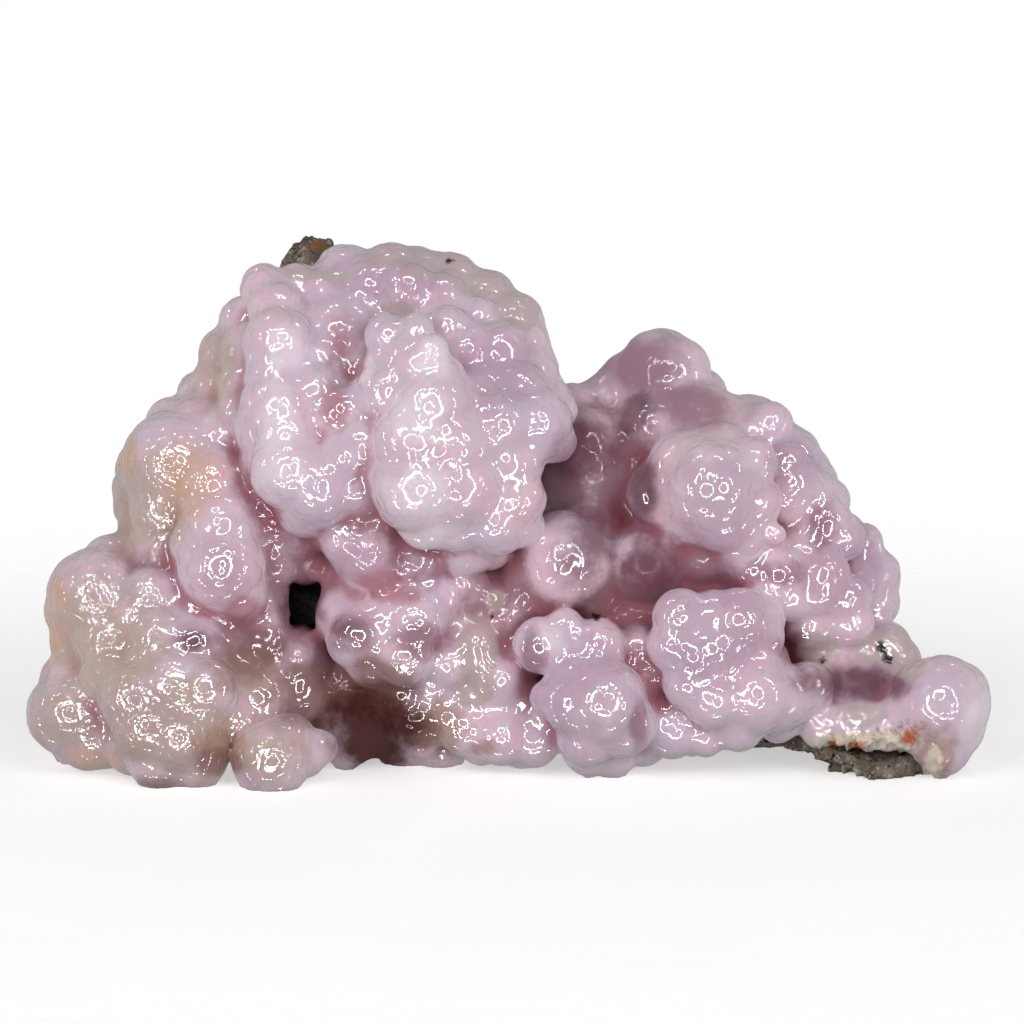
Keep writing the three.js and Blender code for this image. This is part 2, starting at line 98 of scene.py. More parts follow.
# Every lobe of the crust is a ball [u, v, w, radius] that melts into its neighbours.
LOBES = {
    "crown": [
        # left column, from the rim down to the lip
        [-24.6, 48.0, 1.4, 2.8], [-23.6, 46.0, 3.4, 3.0], [-23.2, 42.6, 5.6, 3.8],
        [-23.6, 39.4, 6.0, 3.2], [-23.2, 36.2, 6.6, 4.0], [-24.4, 34.0, 5.6, 3.4],
        [-22.4, 33.2, 8.0, 3.2], [-22.0, 30.0, 8.0, 4.2], [-19.2, 28.2, 7.6, 4.2],
        [-24.2, 31.0, 5.4, 3.0], [-20.4, 26.2, 6.4, 3.2],
        # oval cell and the saddle beside it
        [-16.6, 31.2, 9.0, 2.7], [-16.8, 35.4, 6.8, 3.4], [-14.6, 32.8, 7.6, 3.4],
        [-14.0, 36.4, 7.0, 3.2], [-19.4, 37.6, 5.6, 3.6], [-15.2, 28.4, 6.8, 3.6],
        # smooth wall of the valley between the column and the front cluster
        [-17.4, 43.6, 1.8, 4.4], [-19.0, 40.6, 4.0, 3.4], [-14.6, 40.4, 4.6, 2.6],
        # front cluster: knobs on its left, the sharp ridge, then the big bright front
        [-12.2, 43.2, 8.2, 2.6], [-12.6, 40.6, 8.4, 2.2], [-12.4, 37.8, 9.0, 3.2], [-9.4, 43.6, 9.8, 2.1],
        [-8.2, 41.4, 10.8, 2.4], [-6.8, 39.2, 10.8, 2.4], [-5.4, 37.2, 10.4, 2.4], [-9.6, 40.4, 9.4, 3.4],
        [-8.0, 36.2, 10.8, 4.2], [-9.8, 32.8, 10.8, 4.3], [-11.2, 30.0, 10.2, 3.2],
        [-9.4, 28.2, 10.8, 4.7], [-5.6, 32.0, 10.4, 4.2], [-5.2, 28.2, 9.8, 4.5], [-8.2, 25.6, 9.0, 3.8],
        [-5.4, 25.4, 8.2, 3.8],
        # lower ground to the right of the ridge, and the right-hand lobes
        [-4.2, 41.8, 5.4, 3.2], [-1.0, 41.8, 4.6, 3.2], [-6.4, 43.8, 5.2, 2.8], [-3.0, 37.6, 7.0, 3.4],
        [0.6, 37.6, 6.6, 3.4], [-1.4, 34.2, 8.6, 4.3], [2.2, 34.6, 7.8, 3.9], [4.2, 32.8, 7.0, 2.4],
        [-0.2, 30.6, 8.2, 3.6], [0.4, 27.0, 8.6, 3.2], [-1.6, 25.0, 7.8, 3.8], [0.8, 24.6, 7.0, 2.6],
        [-4.6, 21.9, 5.4, 2.7], [-2.2, 22.2, 5.0, 2.4],
        # top rim
        [-21.4, 47.8, -0.4, 3.2], [-16.6, 49.4, -1.0, 3.5], [-12.2, 49.5, 0.6, 3.5],
        [-9.6, 49.2, -0.8, 3.5], [-6.4, 48.6, -1.4, 3.6], [-2.8, 46.8, -1.2, 3.6], [0.0, 44.6, 0.2, 3.5],
        [1.0, 42.2, 1.4, 3.3], [1.6, 39.8, 2.0, 3.4], [3.4, 37.0, 3.0, 2.8], [4.8, 35.8, 3.4, 2.0],
        [-14.4, 48.8, 2.2, 2.5], [-10.6, 48.2, 2.8, 3.0], [-6.8, 47.2, 1.8, 2.8], [-18.4, 47.6, 1.0, 2.8],
        [-3.4, 45.0, 2.4, 2.6], [-11.2, 45.6, 1.4, 3.2], [-15.4, 45.4, 0.8, 3.6], [-7.4, 45.0, 2.8, 2.8],
        # behind the rim
        [-27.0, 40.0, -7.0, 4.0], [-24.0, 44.0, -6.5, 4.2], [-16.5, 46.4, -7.0, 4.2],
        [-11.5, 46.6, -6.5, 4.4], [-6.0, 45.4, -7.0, 4.2], [-1.5, 42.6, -6.5, 4.2],
        [0.4, 38.0, -6.0, 4.0], [2.0, 33.0, -6.0, 3.8],
        # left flank
        [-26.6, 44.8, -1.6, 3.0], [-28.6, 41.6, -2.4, 3.1], [-29.0, 38.8, -2.0, 3.2],
        [-31.4, 37.8, -3.4, 2.5], [-26.4, 42.0, 1.6, 3.0], [-26.6, 38.6, 2.2, 3.0],
        [-26.6, 35.6, 2.6, 3.0],
        # underside of the lip
        [-14.4, 21.6, 5.0, 3.8], [-16.6, 23.0, 6.0, 2.8], [-12.6, 19.6, 4.4, 2.8], [-9.6, 21.0, 3.8, 3.6],
        [-17.8, 24.6, 4.0, 3.0], [-21.8, 23.6, 2.6, 3.2], [-16.6, 18.8, 1.5, 2.8],
        [-13.6, 25.4, 4.8, 3.2],
    ],
    "shoulder": [
        [-33.4, 30.4, 0.2, 5.9], [-36.4, 30.0, -1.8, 3.6], [-31.6, 33.6, -0.8, 4.0],
        [-34.0, 34.6, -2.6, 3.0], [-28.8, 33.2, 1.0, 3.6], [-37.8, 28.2, -4.4, 2.7],
        [-37.8, 26.4, -4.2, 2.6], [-35.0, 26.0, 1.4, 3.4], [-37.0, 24.6, -2.4, 2.8],
        [-30.0, 28.6, 3.2, 4.2], [-34.6, 22.0, 0.4, 4.2], [-31.6, 18.6, 1.6, 4.2],
        # hanging lobe beside the vug
        [-29.0, 24.4, 5.0, 4.2], [-28.8, 20.4, 5.8, 4.6], [-31.4, 22.6, 5.2, 2.8],
        [-27.4, 18.0, 4.8, 3.4], [-25.8, 24.4, 3.0, 3.4], [-24.8, 27.6, 2.6, 3.6],
        [-23.8, 20.4, 1.2, 3.8], [-25.2, 17.2, 2.0, 3.2], [-19.4, 20.2, 0.6, 2.6],
        # behind
        [-31.0, 34.5, -8.0, 4.2], [-34.4, 29.0, -9.0, 3.8], [-34.0, 24.5, -8.6, 3.6],
    ],
    "foot": [
        # upper left ball and its neighbours
        [-41.4, 17.2, 1.0, 5.3], [-43.6, 16.0, 0.2, 3.4], [-40.2, 20.8, -0.6, 3.0],
        [-38.0, 21.4, -1.2, 3.0], [-43.2, 13.0, 0.0, 3.3], [-40.4, 13.0, 3.4, 3.4],
        [-35.8, 17.6, 3.6, 3.2], [-37.6, 15.2, 4.2, 3.0], [-35.0, 13.4, 5.6, 3.2],
        [-32.4, 15.4, 3.4, 3.2],
        # lower left ball
        [-43.8, 5.8, 2.4, 4.7], [-43.8, 8.8, 1.0, 3.6], [-42.2, 3.4, 2.6, 3.6], [-40.4, 3.2, 3.0, 3.2],
        [-39.8, 9.4, 4.8, 3.4],
        # front group
        [-37.4, 7.4, 7.6, 3.9], [-36.0, 4.6, 8.4, 3.8], [-33.0, 3.6, 9.0, 3.6], [-33.6, 8.8, 7.8, 3.4],
        [-30.4, 8.2, 8.0, 3.6], [-31.4, 5.2, 8.2, 3.0], [-35.6, 10.8, 6.4, 3.0], [-34.8, 1.6, 7.0, 3.6],
        [-31.4, 1.8, 6.8, 3.6], [-37.6, 2.4, 5.0, 3.0],
        # ball at the front of the base
        [-23.8, 1.4, 7.4, 4.2], [-22.0, 3.4, 7.0, 2.8], [-19.0, 2.5, 5.8, 2.0], [-20.6, 1.8, 6.0, 2.6],
        # slope up to the vug
        [-28.6, 12.0, 3.8, 3.0], [-27.2, 9.4, 4.4, 3.0], [-25.2, 12.6, 3.4, 1.6], [-21.4, 11.4, 3.2, 2.0],
        [-25.2, 7.2, 3.2, 3.4], [-21.6, 8.2, -0.2, 4.0], [-21.8, 11.2, 0.4, 4.0], [-31.6, 12.6, 5.2, 3.6],
        [-28.0, 5.4, 4.4, 3.4], [-28.6, 15.0, 2.6, 3.2], [-24.6, 14.4, 1.6, 3.0],
        # behind
        [-42.0, 14.4, -5.5, 4.4], [-39.4, 18.6, -6.0, 3.8], [-43.6, 8.0, -4.5, 4.2],
        [-43.0, 3.0, -4.0, 3.6], [-41.0, 12.0, -9.0, 4.2], [-42.0, 6.0, -9.0, 4.0],
        [-38.0, 4.0, -10.0, 4.0],
    ],
    "middle": [
        [-15.2, 13.4, 5.0, 3.6], [-17.0, 15.6, 2.6, 3.2], [-12.6, 15.2, 4.4, 3.2], [-9.8, 15.2, 5.4, 3.5],
        [-10.8, 11.4, 5.4, 3.3], [-13.8, 11.0, 4.0, 3.0], [-7.2, 17.0, 4.4, 2.6], [-4.6, 18.6, 3.0, 2.6],
        [-6.4, 10.8, 3.4, 3.0], [-8.0, 8.2, 2.6, 2.6], [-5.4, 14.0, 2.4, 3.0],
        # shaded hollow under the middle
        [-9.7, 5.4, 2.4, 2.6], [-9.2, 3.2, 0.8, 2.4], [-7.0, 5.6, 1.6, 3.0], [-16.0, 8.6, -1.0, 3.4],
        [-11.6, 8.2, 1.0, 3.0], [-18.0, 6.0, -2.6, 3.4], [-13.8, 4.6, -4.0, 3.6], [-16.4, 3.0, -0.6, 3.0],
        [-13.4, 3.8, -1.6, 2.9], [-11.0, 2.6, -3.4, 3.0], [-7.4, 2.2, -3.0, 3.0],
        # grey-green oval and the small lobes round it
        [-3.4, 12.8, 4.4, 2.2], [-3.0, 10.8, 4.6, 2.1], [-1.2, 9.2, 4.2, 2.8], [1.2, 11.4, 3.0, 2.6],
        [0.8, 16.6, 3.2, 2.1], [3.4, 16.8, 2.4, 2.2], [-2.0, 17.2, 3.2, 1.7], [-1.0, 14.4, 2.8, 2.4],
        [-3.4, 7.6, 2.6, 2.6], [0.4, 7.4, 2.2, 3.2],
        # lower edge
        [-4.8, 4.0, 2.4, 2.8], [-1.0, 3.6, 3.0, 3.3], [2.2, 3.0, 2.6, 2.9], [-3.0, 3.0, 1.6, 2.7],
        [0.8, 2.8, 1.8, 2.8], [3.6, 5.6, 3.0, 2.8],
    ],
    "valley": [
        [5.2, 21.0, 3.0, 5.2], [2.4, 20.0, 1.8, 3.8], [7.6, 24.0, 0.6, 3.6], [8.4, 20.0, 1.6, 3.4],
        [4.6, 18.6, 1.4, 3.4], [8.4, 17.4, 1.2, 2.8], [13.4, 20.8, 2.8, 4.2], [11.8, 17.8, -0.4, 3.0],
        [15.6, 17.8, 0.0, 3.4], [11.2, 25.2, -2.6, 3.4], [7.8, 32.4, -1.6, 4.2], [8.4, 29.8, -1.4, 4.4],
        [5.8, 28.0, -2.6, 4.0], [12.6, 34.4, -3.0, 3.4], [12.8, 31.2, -2.2, 3.4], [6.2, 35.4, -4.4, 3.6],
        [14.2, 27.6, -1.0, 3.6], [6.5, 33.5, -9.0, 4.6],
    ],
    "ridge": [
        # back dome and the smooth wrinkled saddle in front of it
        [15.0, 39.6, -4.6, 4.8], [12.0, 38.4, -5.2, 3.8], [17.0, 40.2, -3.2, 3.2], [9.4, 36.6, -5.6, 3.4],
        [18.0, 38.8, -3.4, 2.3], [18.6, 33.0, -1.6, 6.0], [23.6, 32.8, -2.4, 5.0],
        [14.4, 34.6, -1.6, 4.2], [16.4, 36.6, -2.6, 3.2], [27.4, 31.2, -2.0, 3.8],
        [26.0, 34.0, -2.4, 2.6],
        # front block
        [19.8, 28.0, 6.4, 5.4], [17.2, 30.0, 4.6, 4.2], [15.4, 27.6, 3.6, 4.2], [20.6, 32.2, 4.4, 3.0],
        [23.6, 30.6, 6.0, 3.0], [24.2, 26.8, 6.8, 2.8], [21.0, 25.4, 6.8, 3.8], [17.8, 25.6, 5.0, 3.6],
        [23.0, 23.9, 6.2, 2.6], [26.0, 23.6, 6.8, 1.4],
        # steps down the right edge
        [25.8, 34.6, 1.0, 2.5], [24.0, 33.8, 1.6, 2.4], [27.2, 30.6, 2.8, 2.6], [28.6, 28.8, 2.2, 2.6],
        [27.0, 27.2, 2.0, 2.8], [29.8, 29.8, -1.2, 2.6], [30.2, 27.8, 1.2, 2.6], [31.8, 27.0, -0.6, 2.4],
        [31.4, 24.8, 1.4, 2.8], [33.0, 23.2, 0.8, 2.6], [31.2, 22.6, 1.6, 2.4], [28.6, 24.6, 0.0, 3.0],
        [28.8, 21.4, 1.6, 2.8], [31.2, 19.8, 3.2, 2.7], [30.6, 17.8, 3.4, 2.6], [33.4, 17.2, 1.6, 2.8],
        [33.8, 14.8, 1.2, 2.6], [32.4, 14.8, 0.6, 2.6], [35.0, 22.4, -3.4, 2.6], [36.2, 19.4, -4.2, 3.2],
        [36.4, 16.8, -4.4, 2.7], [34.4, 18.6, -2.6, 3.0],
        # ground below the front block
        [22.0, 22.4, 4.0, 3.4], [19.0, 21.8, 3.0, 3.4], [26.4, 19.4, 4.0, 3.2], [23.6, 20.2, 3.4, 2.8],
        [27.8, 17.2, 3.8, 2.6], [25.4, 21.2, 2.6, 3.0], [29.6, 14.8, 1.2, 3.0],
        # behind
        [12.0, 35.6, -10.5, 4.6], [17.5, 37.0, -10.0, 4.8], [24.0, 32.0, -8.8, 4.8],
        [29.0, 28.4, -8.4, 4.1], [32.4, 22.4, -9.4, 4.0], [35.6, 16.8, -9.0, 3.8],
    ],
    "skirt": [
        # left group with the big bright ball
        [3.0, 12.6, 6.6, 3.1], [5.2, 14.2, 6.0, 2.4], [8.6, 12.4, 6.2, 3.1], [6.2, 10.4, 7.0, 2.6],
        [9.0, 7.0, 8.0, 4.6], [6.2, 6.6, 8.4, 3.2], [4.0, 7.4, 7.6, 2.4], [10.8, 4.8, 7.0, 3.6],
        [7.4, 3.6, 6.8, 3.2], [7.6, 2.4, 3.8, 3.0], [10.0, 2.2, 2.8, 3.0], [12.6, 12.4, 4.6, 2.6],
        [12.8, 9.6, 4.2, 2.8], [13.4, 5.0, 3.4, 3.4], [13.0, 3.2, 2.0, 3.0],
        # right group
        [16.8, 15.4, 7.4, 3.1], [16.0, 12.6, 7.4, 2.9], [19.8, 15.4, 6.8, 3.0], [22.6, 15.0, 7.0, 3.6],
        [25.2, 15.4, 6.6, 2.2], [25.4, 13.2, 6.6, 1.9], [18.0, 11.4, 7.2, 3.2], [20.6, 12.4, 6.8, 3.2],
        [17.4, 8.8, 6.8, 2.8], [20.0, 7.2, 6.8, 3.2], [24.0, 7.6, 5.6, 4.2], [26.6, 7.4, 4.4, 3.6],
        [24.6, 10.8, 4.6, 3.2], [22.4, 5.0, 4.6, 3.2], [19.2, 3.7, 4.0, 2.5], [16.0, 4.2, 4.0, 3.2],
        [18.0, 3.6, 1.0, 2.4], [26.6, 5.2, 2.4, 2.6], [29.2, 8.2, 3.2, 3.0],
    ],
    "shelf": [
        [34.6, 7.6, -0.6, 3.8], [32.0, 9.2, -0.6, 3.2], [37.4, 8.4, -0.8, 3.0],
        # pale lip over the rock
        [30.8, 4.4, 2.2, 2.4], [33.2, 5.2, 3.4, 1.8], [35.4, 5.6, 3.0, 1.6], [40.0, 4.6, 2.6, 2.6],
        [31.4, 3.9, 2.9, 1.5], [33.4, 3.6, 3.6, 1.5], [35.4, 3.4, 4.2, 1.5], [37.4, 3.4, 4.6, 1.6],
        [39.4, 3.2, 4.8, 1.6],
        # weathered pale lobes at the back of the shelf
        [37.6, 12.2, -2.8, 2.9], [39.2, 11.0, -2.0, 2.2], [35.6, 11.8, -2.0, 2.6],
        [29.8, 12.4, -1.4, 2.9], [31.6, 11.2, -1.2, 2.3], [33.6, 12.0, -4.0, 3.2], [38.0, 9.4, -7.4, 3.8],
        [38.0, 5.0, -7.0, 4.0],
    ],
    "toe": [
        [42.7, 6.7, 4.2, 5.1], [44.2, 7.6, 3.2, 3.6], [42.8, 2.6, 4.0, 3.2], [44.0, 4.4, 3.8, 3.3],
        [40.4, 8.0, 3.4, 3.0], [39.4, 6.2, 4.2, 2.4], [37.4, 5.0, 3.8, 2.1], [41.0, 6.4, -2.0, 4.4],
    ],
}

# Solid cores behind the lobes: [u, v, w, radius u, radius v, radius w].
CORES = [
    [-12, 35, -5, 15, 13, 9],  # crown
    [-32, 26, -5, 6, 9, 6],  # shoulder
    [-33, 9, -3, 11, 9, 7.5],  # foot
    [-9, 12, -6, 15, 8, 6.5],  # middle
    [8, 20, -4, 9, 13, 6],  # valley
    [18, 25, -6, 13, 11, 7],  # ridge
    [15, 11, -3, 13, 9, 7.5],  # skirt
    [34, 8.5, -4, 8, 4, 5.5],  # shelf
    [42, 6, 1, 4, 4, 4],  # toe
    [-2, 16, -3, 9, 8, 6],  # behind the small lobes of the middle
    [19, 18, -2, 9, 6, 6],  # between the ridge and the skirt
]

# Angular chunks of the host rock: middle and radii along u, v and w, and turns about them in degrees.
# The first is the knob that stands out of the rim.
ROCK_CHUNKS = [
    {"at": [-20.4, 49.6, -4.8], "radii": [3.4, 4.7, 3.6], "turns": [8, 24, -14]},
    {"at": [-18.6, 44.0, -9.0], "radii": [5.5, 6.0, 5.0], "turns": [0, 30, 10]},  # neck under the knob
    {"at": [-14.0, 33.0, -13.5], "radii": [17, 15, 9.5], "turns": [-6, 8, 8]},  # backing of the crown
    {"at": [-14.5, 20.0, -12.5], "radii": [22, 14, 10], "turns": [4, -5, -5]},  # backing of the middle
    {"at": [16.0, 19.0, -13.5], "radii": [19, 16, 9.5], "turns": [-5, -7, -14]},  # backing of the ridge
    {"at": [-28.0, 8.0, -11.0], "radii": [17, 11, 10], "turns": [-6, 14, 6]},  # left of the base
    {"at": [-3.0, 7.5, -12.5], "radii": [18, 11, 10], "turns": [12, 4, 20]},  # middle of the base
    {"at": [20.0, 8.0, -13.0], "radii": [20, 9, 8], "turns": [5, -6, -4]},  # right of the base
    {"at": [-20.6, 16.6, -4.6], "radii": [2.9, 3.8, 4.2], "turns": [10, 12, 8]},  # floor of the vug
    {"at": [37.2, 0.2, -2.8], "radii": [7.2, 3.0, 8.8], "turns": [6, -10, 6]},  # ledge, thick end
    {"at": [33.6, 1.7, -2.6], "radii": [5.0, 1.6, 8.0], "turns": [6, -8, -14]},  # and its taper
    {"at": [31.6, 2.7, -4.2], "radii": [6.6, 1.7, 7.6], "turns": [4, -6, -8]},  # ledge, thin end
    {"at": [30.0, 5.0, -12.0], "radii": [10.5, 5.2, 7.0], "turns": [0, 8, -5]},  # root of the ledge
]

# The small pit through the crust down to the rock: middles and radii along u, v and w.
VUG = [
    {"at": [-20.8, 15.9, 2.6], "radii": [1.3, 1.5, 5.0]},
    {"at": [-20.4, 17.4, 2.6], "radii": [1.2, 1.3, 5.0]},
    {"at": [-21.4, 17.4, 2.6], "radii": [0.9, 1.2, 5.0]},
    {"at": [-21.8, 18.3, 2.6], "radii": [0.6, 0.6, 5.0]},
    {"at": [-19.5, 18.4, 2.6], "radii": [0.6, 0.6, 5.0]},
    {"at": [-21.8, 14.9, 2.6], "radii": [0.5, 0.8, 5.0]},
    {"at": [-20.0, 14.6, 2.6], "radii": [0.5, 0.7, 5.0]},
]

# Broken faces at the back: a point on each, in x, y and z, and the way it faces.
BREAKS = [
    {"at": [-14, 16.5, 24], "facing": [-0.12, 1, 0.16]},
    {"at": [20, 15.5, 14], "facing": [0.22, 1, 0.24]},
    {"at": [-36, 12.5, 10], "facing": [-0.5, 1, 0.1]},
    {"at": [0, 18.5, 4], "facing": [0.05, 1, -0.3]},
]

# Places where the skin is smooth, with hardly any grains on it: [u, v, w, radius, how smooth].
SMOOTH_PLACES = [
    [-16.8, 42.0, 3.0, 5.0, 0.9],  # wall of the crown's valley
    [-18.5, 46.5, 2.0, 3.0, 0.6],  # and the rim above it
    [-3.5, 41.5, 5.5, 4.0, 0.6],  # lower ground beside the sharp ridge
    [-14.0, 21.0, 5.0, 6.0, 0.8],  # underside of the lip
    [18.0, 34.5, 1.0, 7.5, 0.75],  # wrinkled saddle
    [25.0, 34.0, 0.0, 5.0, 0.7],  # its right end
    [14.0, 40.0, -2.0, 5.5, 0.85],  # back dome
    [8.0, 31.0, 2.0, 7.0, 0.8],  # wall of the deep valley
    [13.5, 21.0, 5.0, 6.5, 1.0],  # floor of the valley
    [8.0, 22.0, 6.0, 4.0, 0.5],
    [24.0, 8.0, 7.0, 5.0, 0.45],  # flank of the skirt
    [42.5, 5.0, 6.0, 7.5, 0.6],  # toe
    [34.0, 8.0, 1.0, 6.0, 1.0],  # shelf
    [-31.5, 34.0, 0.0, 3.5, 0.5],  # top of the shoulder
    [-15.0, 5.0, 0.0, 6.5, 1.0],  # the deep hollow
    [6.0, 23.0, 5.0, 5.0, 0.75],  # ball in the valley
]

# Where the lobes flow into one another: [u, v, w, radius, how much].
FLOWING_PLACES = [
    [-25.0, 48.0, -2.0, 6.0, 0.7],  # rim of the crown
    [-14.0, 51.0, -2.0, 8.0, 0.9],
    [-5.0, 49.0, -2.0, 8.0, 0.9],
    [2.0, 44.0, -1.0, 7.0, 0.8],
    [1.0, 37.0, 3.0, 6.5, 0.8],  # right of the crown
    [-16.0, 42.0, 3.0, 6.0, 1.0],  # wall of the crown's valley
    [-8.0, 34.0, 8.0, 7.0, 0.35],  # front of the crown
    [-29.0, 40.0, -2.0, 8.0, 0.8],  # behind the shoulder
    [-14.0, 18.0, 5.0, 9.0, 0.7],  # under the lip
    [-28.0, 22.0, 3.0, 6.0, 0.4],
    [-26.0, 9.0, 3.0, 8.0, 0.6],  # slope left of the deep hollow
    [-14.0, 5.0, 2.0, 7.0, 0.9],
    [17.0, 36.0, 1.0, 9.0, 0.8],  # saddle and dome
    [14.0, 41.0, -2.0, 6.0, 0.6],
    [9.0, 30.5, 1.0, 6.5, 0.9],  # wall of the deep valley
    [13.0, 20.0, 3.0, 7.0, 0.35],
    [13.0, 6.0, 5.0, 5.0, 0.5],
    [19.0, 28.0, 5.0, 7.0, 0.4],
    [33.0, 27.0, 0.0, 8.0, 0.3],
    [42.5, 5.0, 6.0, 7.5, 0.5],  # toe
    [-40.0, 10.0, -9.0, 9.0, 0.8],  # the flanks and the back, from left to right
    [-34.0, 27.0, -9.0, 9.0, 0.8],
    [-25.0, 42.0, -9.0, 8.0, 0.8],
    [-8.0, 45.0, -9.0, 8.0, 0.8],
    [6.0, 35.0, -10.0, 11.0, 0.8],
    [24.0, 32.0, -10.0, 9.0, 0.8],
    [36.0, 18.0, -9.0, 9.0, 0.8],
    [40.0, 6.0, -6.0, 6.0, 0.8],
]

# Where the grains are finer than elsewhere, like coarse sugar: [u, v, w, radius].
SUGARY_PLACES = [
    [-36.0, 28.0, 0.0, 12.0],
    [-41.0, 13.0, 2.0, 12.0],
    [-35.0, 4.0, 6.0, 11.0],
    [-29.0, 41.0, -3.0, 6.5],
    [-24.0, 2.0, 7.0, 6.0],
    [-1.0, 47.0, 0.0, 6.0],
    [35.0, 11.5, 0.0, 6.0],
]

# Stains, changes of colour, and painted light and shade on the display face: [u, v, radius u, radius v].
STAIN_LIGHT_AND_SHADE_PLACES = {
    "aged": [  # greyer, sandy skin on the left
        [-38, 27, 10.5, 10], [-30, 40, 6, 8], [-41, 13, 12, 13], [-34, 4, 13, 10], [-24, 2, 8, 6],
        [-26, 10, 6, 6], [-44.0, 5.0, 6.0, 7.0],
    ],
    "peach": [  # warm tint of the shoulder and the left edge
        [-32.0, 29.6, 7.4, 6.4], [-47.0, 16.0, 4.4, 9.0], [-42.0, 1.0, 5.0, 3.0], [-39.0, 32.0, 3.0, 4.0],
    ],
    "sage": [  # grey-green tarnish
        [-8, 50.8, 5.0, 2.6], [-3, 49.4, 4.6, 3.0], [0.6, 46.6, 3.2, 3.6], [-12.5, 51.4, 3.0, 1.6],
        [-3.3, 12.2, 2.7, 4.6], [-3.6, 8.4, 2.6, 3.0], [-1.6, 17.0, 1.4, 1.4], [-47.2, 9.0, 1.6, 8.0],
        [39.8, 13.4, 2.0, 2.2],
    ],
    "chalk": [  # dull white weathered skin
        [-20.4, 49.6, 3.2, 0.9], [-17.4, 49.3, 2.2, 0.8], [-11.4, 46.1, 2.4, 0.9], [37.6, 12.4, 3.4, 2.8],
        [39.4, 11.0, 2.2, 2.6], [35.4, 11.6, 2.0, 1.6], [30.6, 12.0, 2.8, 2.4], [34.4, 5.6, 3.8, 1.5],
    ],
    "pale_and_lit": [  # the clearest, palest growth, and painted light on the front lobes and under the lip
        [-7.8, 40.6, 3.6, 5.0], [-9.0, 35.0, 5.4, 5.0], [-9.0, 27.6, 6.0, 5.4], [-22.8, 34.5, 4.4, 6.5],
        [-22.0, 42.0, 4.0, 4.0], [20.0, 28.2, 7.0, 7.0], [9.0, 7.0, 5.0, 4.8], [19.0, 14.6, 6.0, 4.2],
        [3.6, 13.0, 3.6, 3.2], [46.0, 5.4, 3.0, 6.0], [-22.6, 29.5, 5.0, 5.0], [-9.0, 23.4, 6.0, 4.0],
        [-14.8, 39.8, 2.0, 2.4],
    ],
    "brown_slope_shade": [  # painted shade in brown, on the slope round the hollow and along the bottom edge
        [-20.5, 7.6, 9.0, 6.5], [-13.6, 8.0, 7.0, 5.0], [-9.0, 4.0, 3.4, 4.0], [-26.0, 11.0, 7.0, 5.0],
        [-29.0, 1.0, 5.0, 2.4], [-35.0, -1.0, 5.0, 2.0],
    ],
    "hollow_shade": [  # painted shade in dark brown, in the deepest hollow and the vug
        [-14.6, 3.8, 9.2, 7.0], [-13.0, 1.8, 7.8, 4.8], [-20.7, 16.4, 4.0, 4.6],
    ],
    "tan": [  # brown tinge of the toe and the lower edge
        [41.6, 2.0, 4.0, 5.6], [-6.8, 4.0, 4.4, 5.4], [-29.0, 3.0, 4.0, 3.0], [-3.0, 2.4, 3.4, 1.6],
    ],
    "cream": [  # broken, crumbly edge of the lip over the rock
        [37.0, 3.1, 5.0, 1.6], [32.6, 3.0, 3.0, 1.2], [41.8, 0.8, 1.2, 2.6],
    ],
    "mauve_shade": [  # painted shade in dusky mauve, on the shelf, the valley, the dome and shaded sides of lobes
        [33.6, 8.8, 9.0, 3.6], [13.6, 21.4, 5.6, 5.2], [8.0, 31.5, 6.0, 5.6], [18.4, 36.5, 8.5, 4.4],
        [12.6, 40.6, 9.0, 7.0], [13.4, 28.2, 2.6, 7.0], [12.6, 4.8, 1.8, 4.2], [6.0, 20.6, 5.0, 4.4],
        [-15.6, 13.6, 6.0, 5.0], [-10.0, 13.0, 5.0, 3.4], [-32.0, 13.0, 4.4, 3.0], [30.8, 24.8, 2.6, 4.4],
        [25.6, 19.8, 5.0, 2.6], [2.0, 12.0, 2.4, 5.0], [29.0, 12.0, 6.0, 3.0],
    ],
    "lilac": [  # deeper mauve of the lower and right-hand growth
        [-29, 20, 5.5, 5.5], [-14.2, 20.6, 5.6, 3.8], [28, 30, 4.5, 5.5], [8, 8, 10, 9], [21, 14, 11, 10],
        [20, 27, 8, 8], [-12, 49, 12, 4], [-37, 5, 10, 6], [-27, 1, 7, 4], [-1, 40, 7, 8], [33, 20, 7, 8],
    ],
    "rosy_shade": [  # painted shade in rose, on the walls of the valleys and under the lip
        [-16.6, 43.2, 3.4, 4.8], [-12.4, 18.4, 6.0, 3.0], [-17.6, 36.0, 3.0, 4.0], [-26.0, 15.6, 4.0, 3.0],
    ],
    "deep_shade": [  # painted shade in the darkest mauve, in the depths of the valley and under the shelf
        [33.4, 9.2, 9.6, 3.6], [13.0, 28.6, 2.4, 6.4], [8.6, 23.6, 6.0, 6.0], [13.2, 20.8, 5.0, 5.2],
        [10.4, 25.0, 3.0, 3.4], [12.4, 35.6, 3.4, 4.0], [-16.4, 14.4, 3.4, 2.4], [-14.6, 7.4, 5.4, 3.2],
        [-31.4, 13.0, 2.8, 1.8],
    ],
    "rust": [  # orange iron stains where the growth meets the rock
        [39.4, 3.5, 1.6, 1.4], [34.2, 2.7, 1.4, 0.8], [32.0, 2.8, 1.0, 0.6], [-19.4, 52.6, 1.2, 0.7],
    ],
    "soot": [  # small black smudges
        [-7.3, 52.1, 0.6, 0.5], [-6.2, 50.9, 0.7, 0.5], [-2.0, 15.4, 0.5, 0.4], [8.3, 15.4, 0.8, 0.5],
        [11.9, 25.3, 0.45, 0.45], [37.0, 12.2, 0.9, 1.3], [37.6, 11.2, 1.1, 0.9], [31.0, 11.0, 0.7, 0.6],
    ],
}

SOLID = 0.45  # share of its radii up to which a stain is at full strength

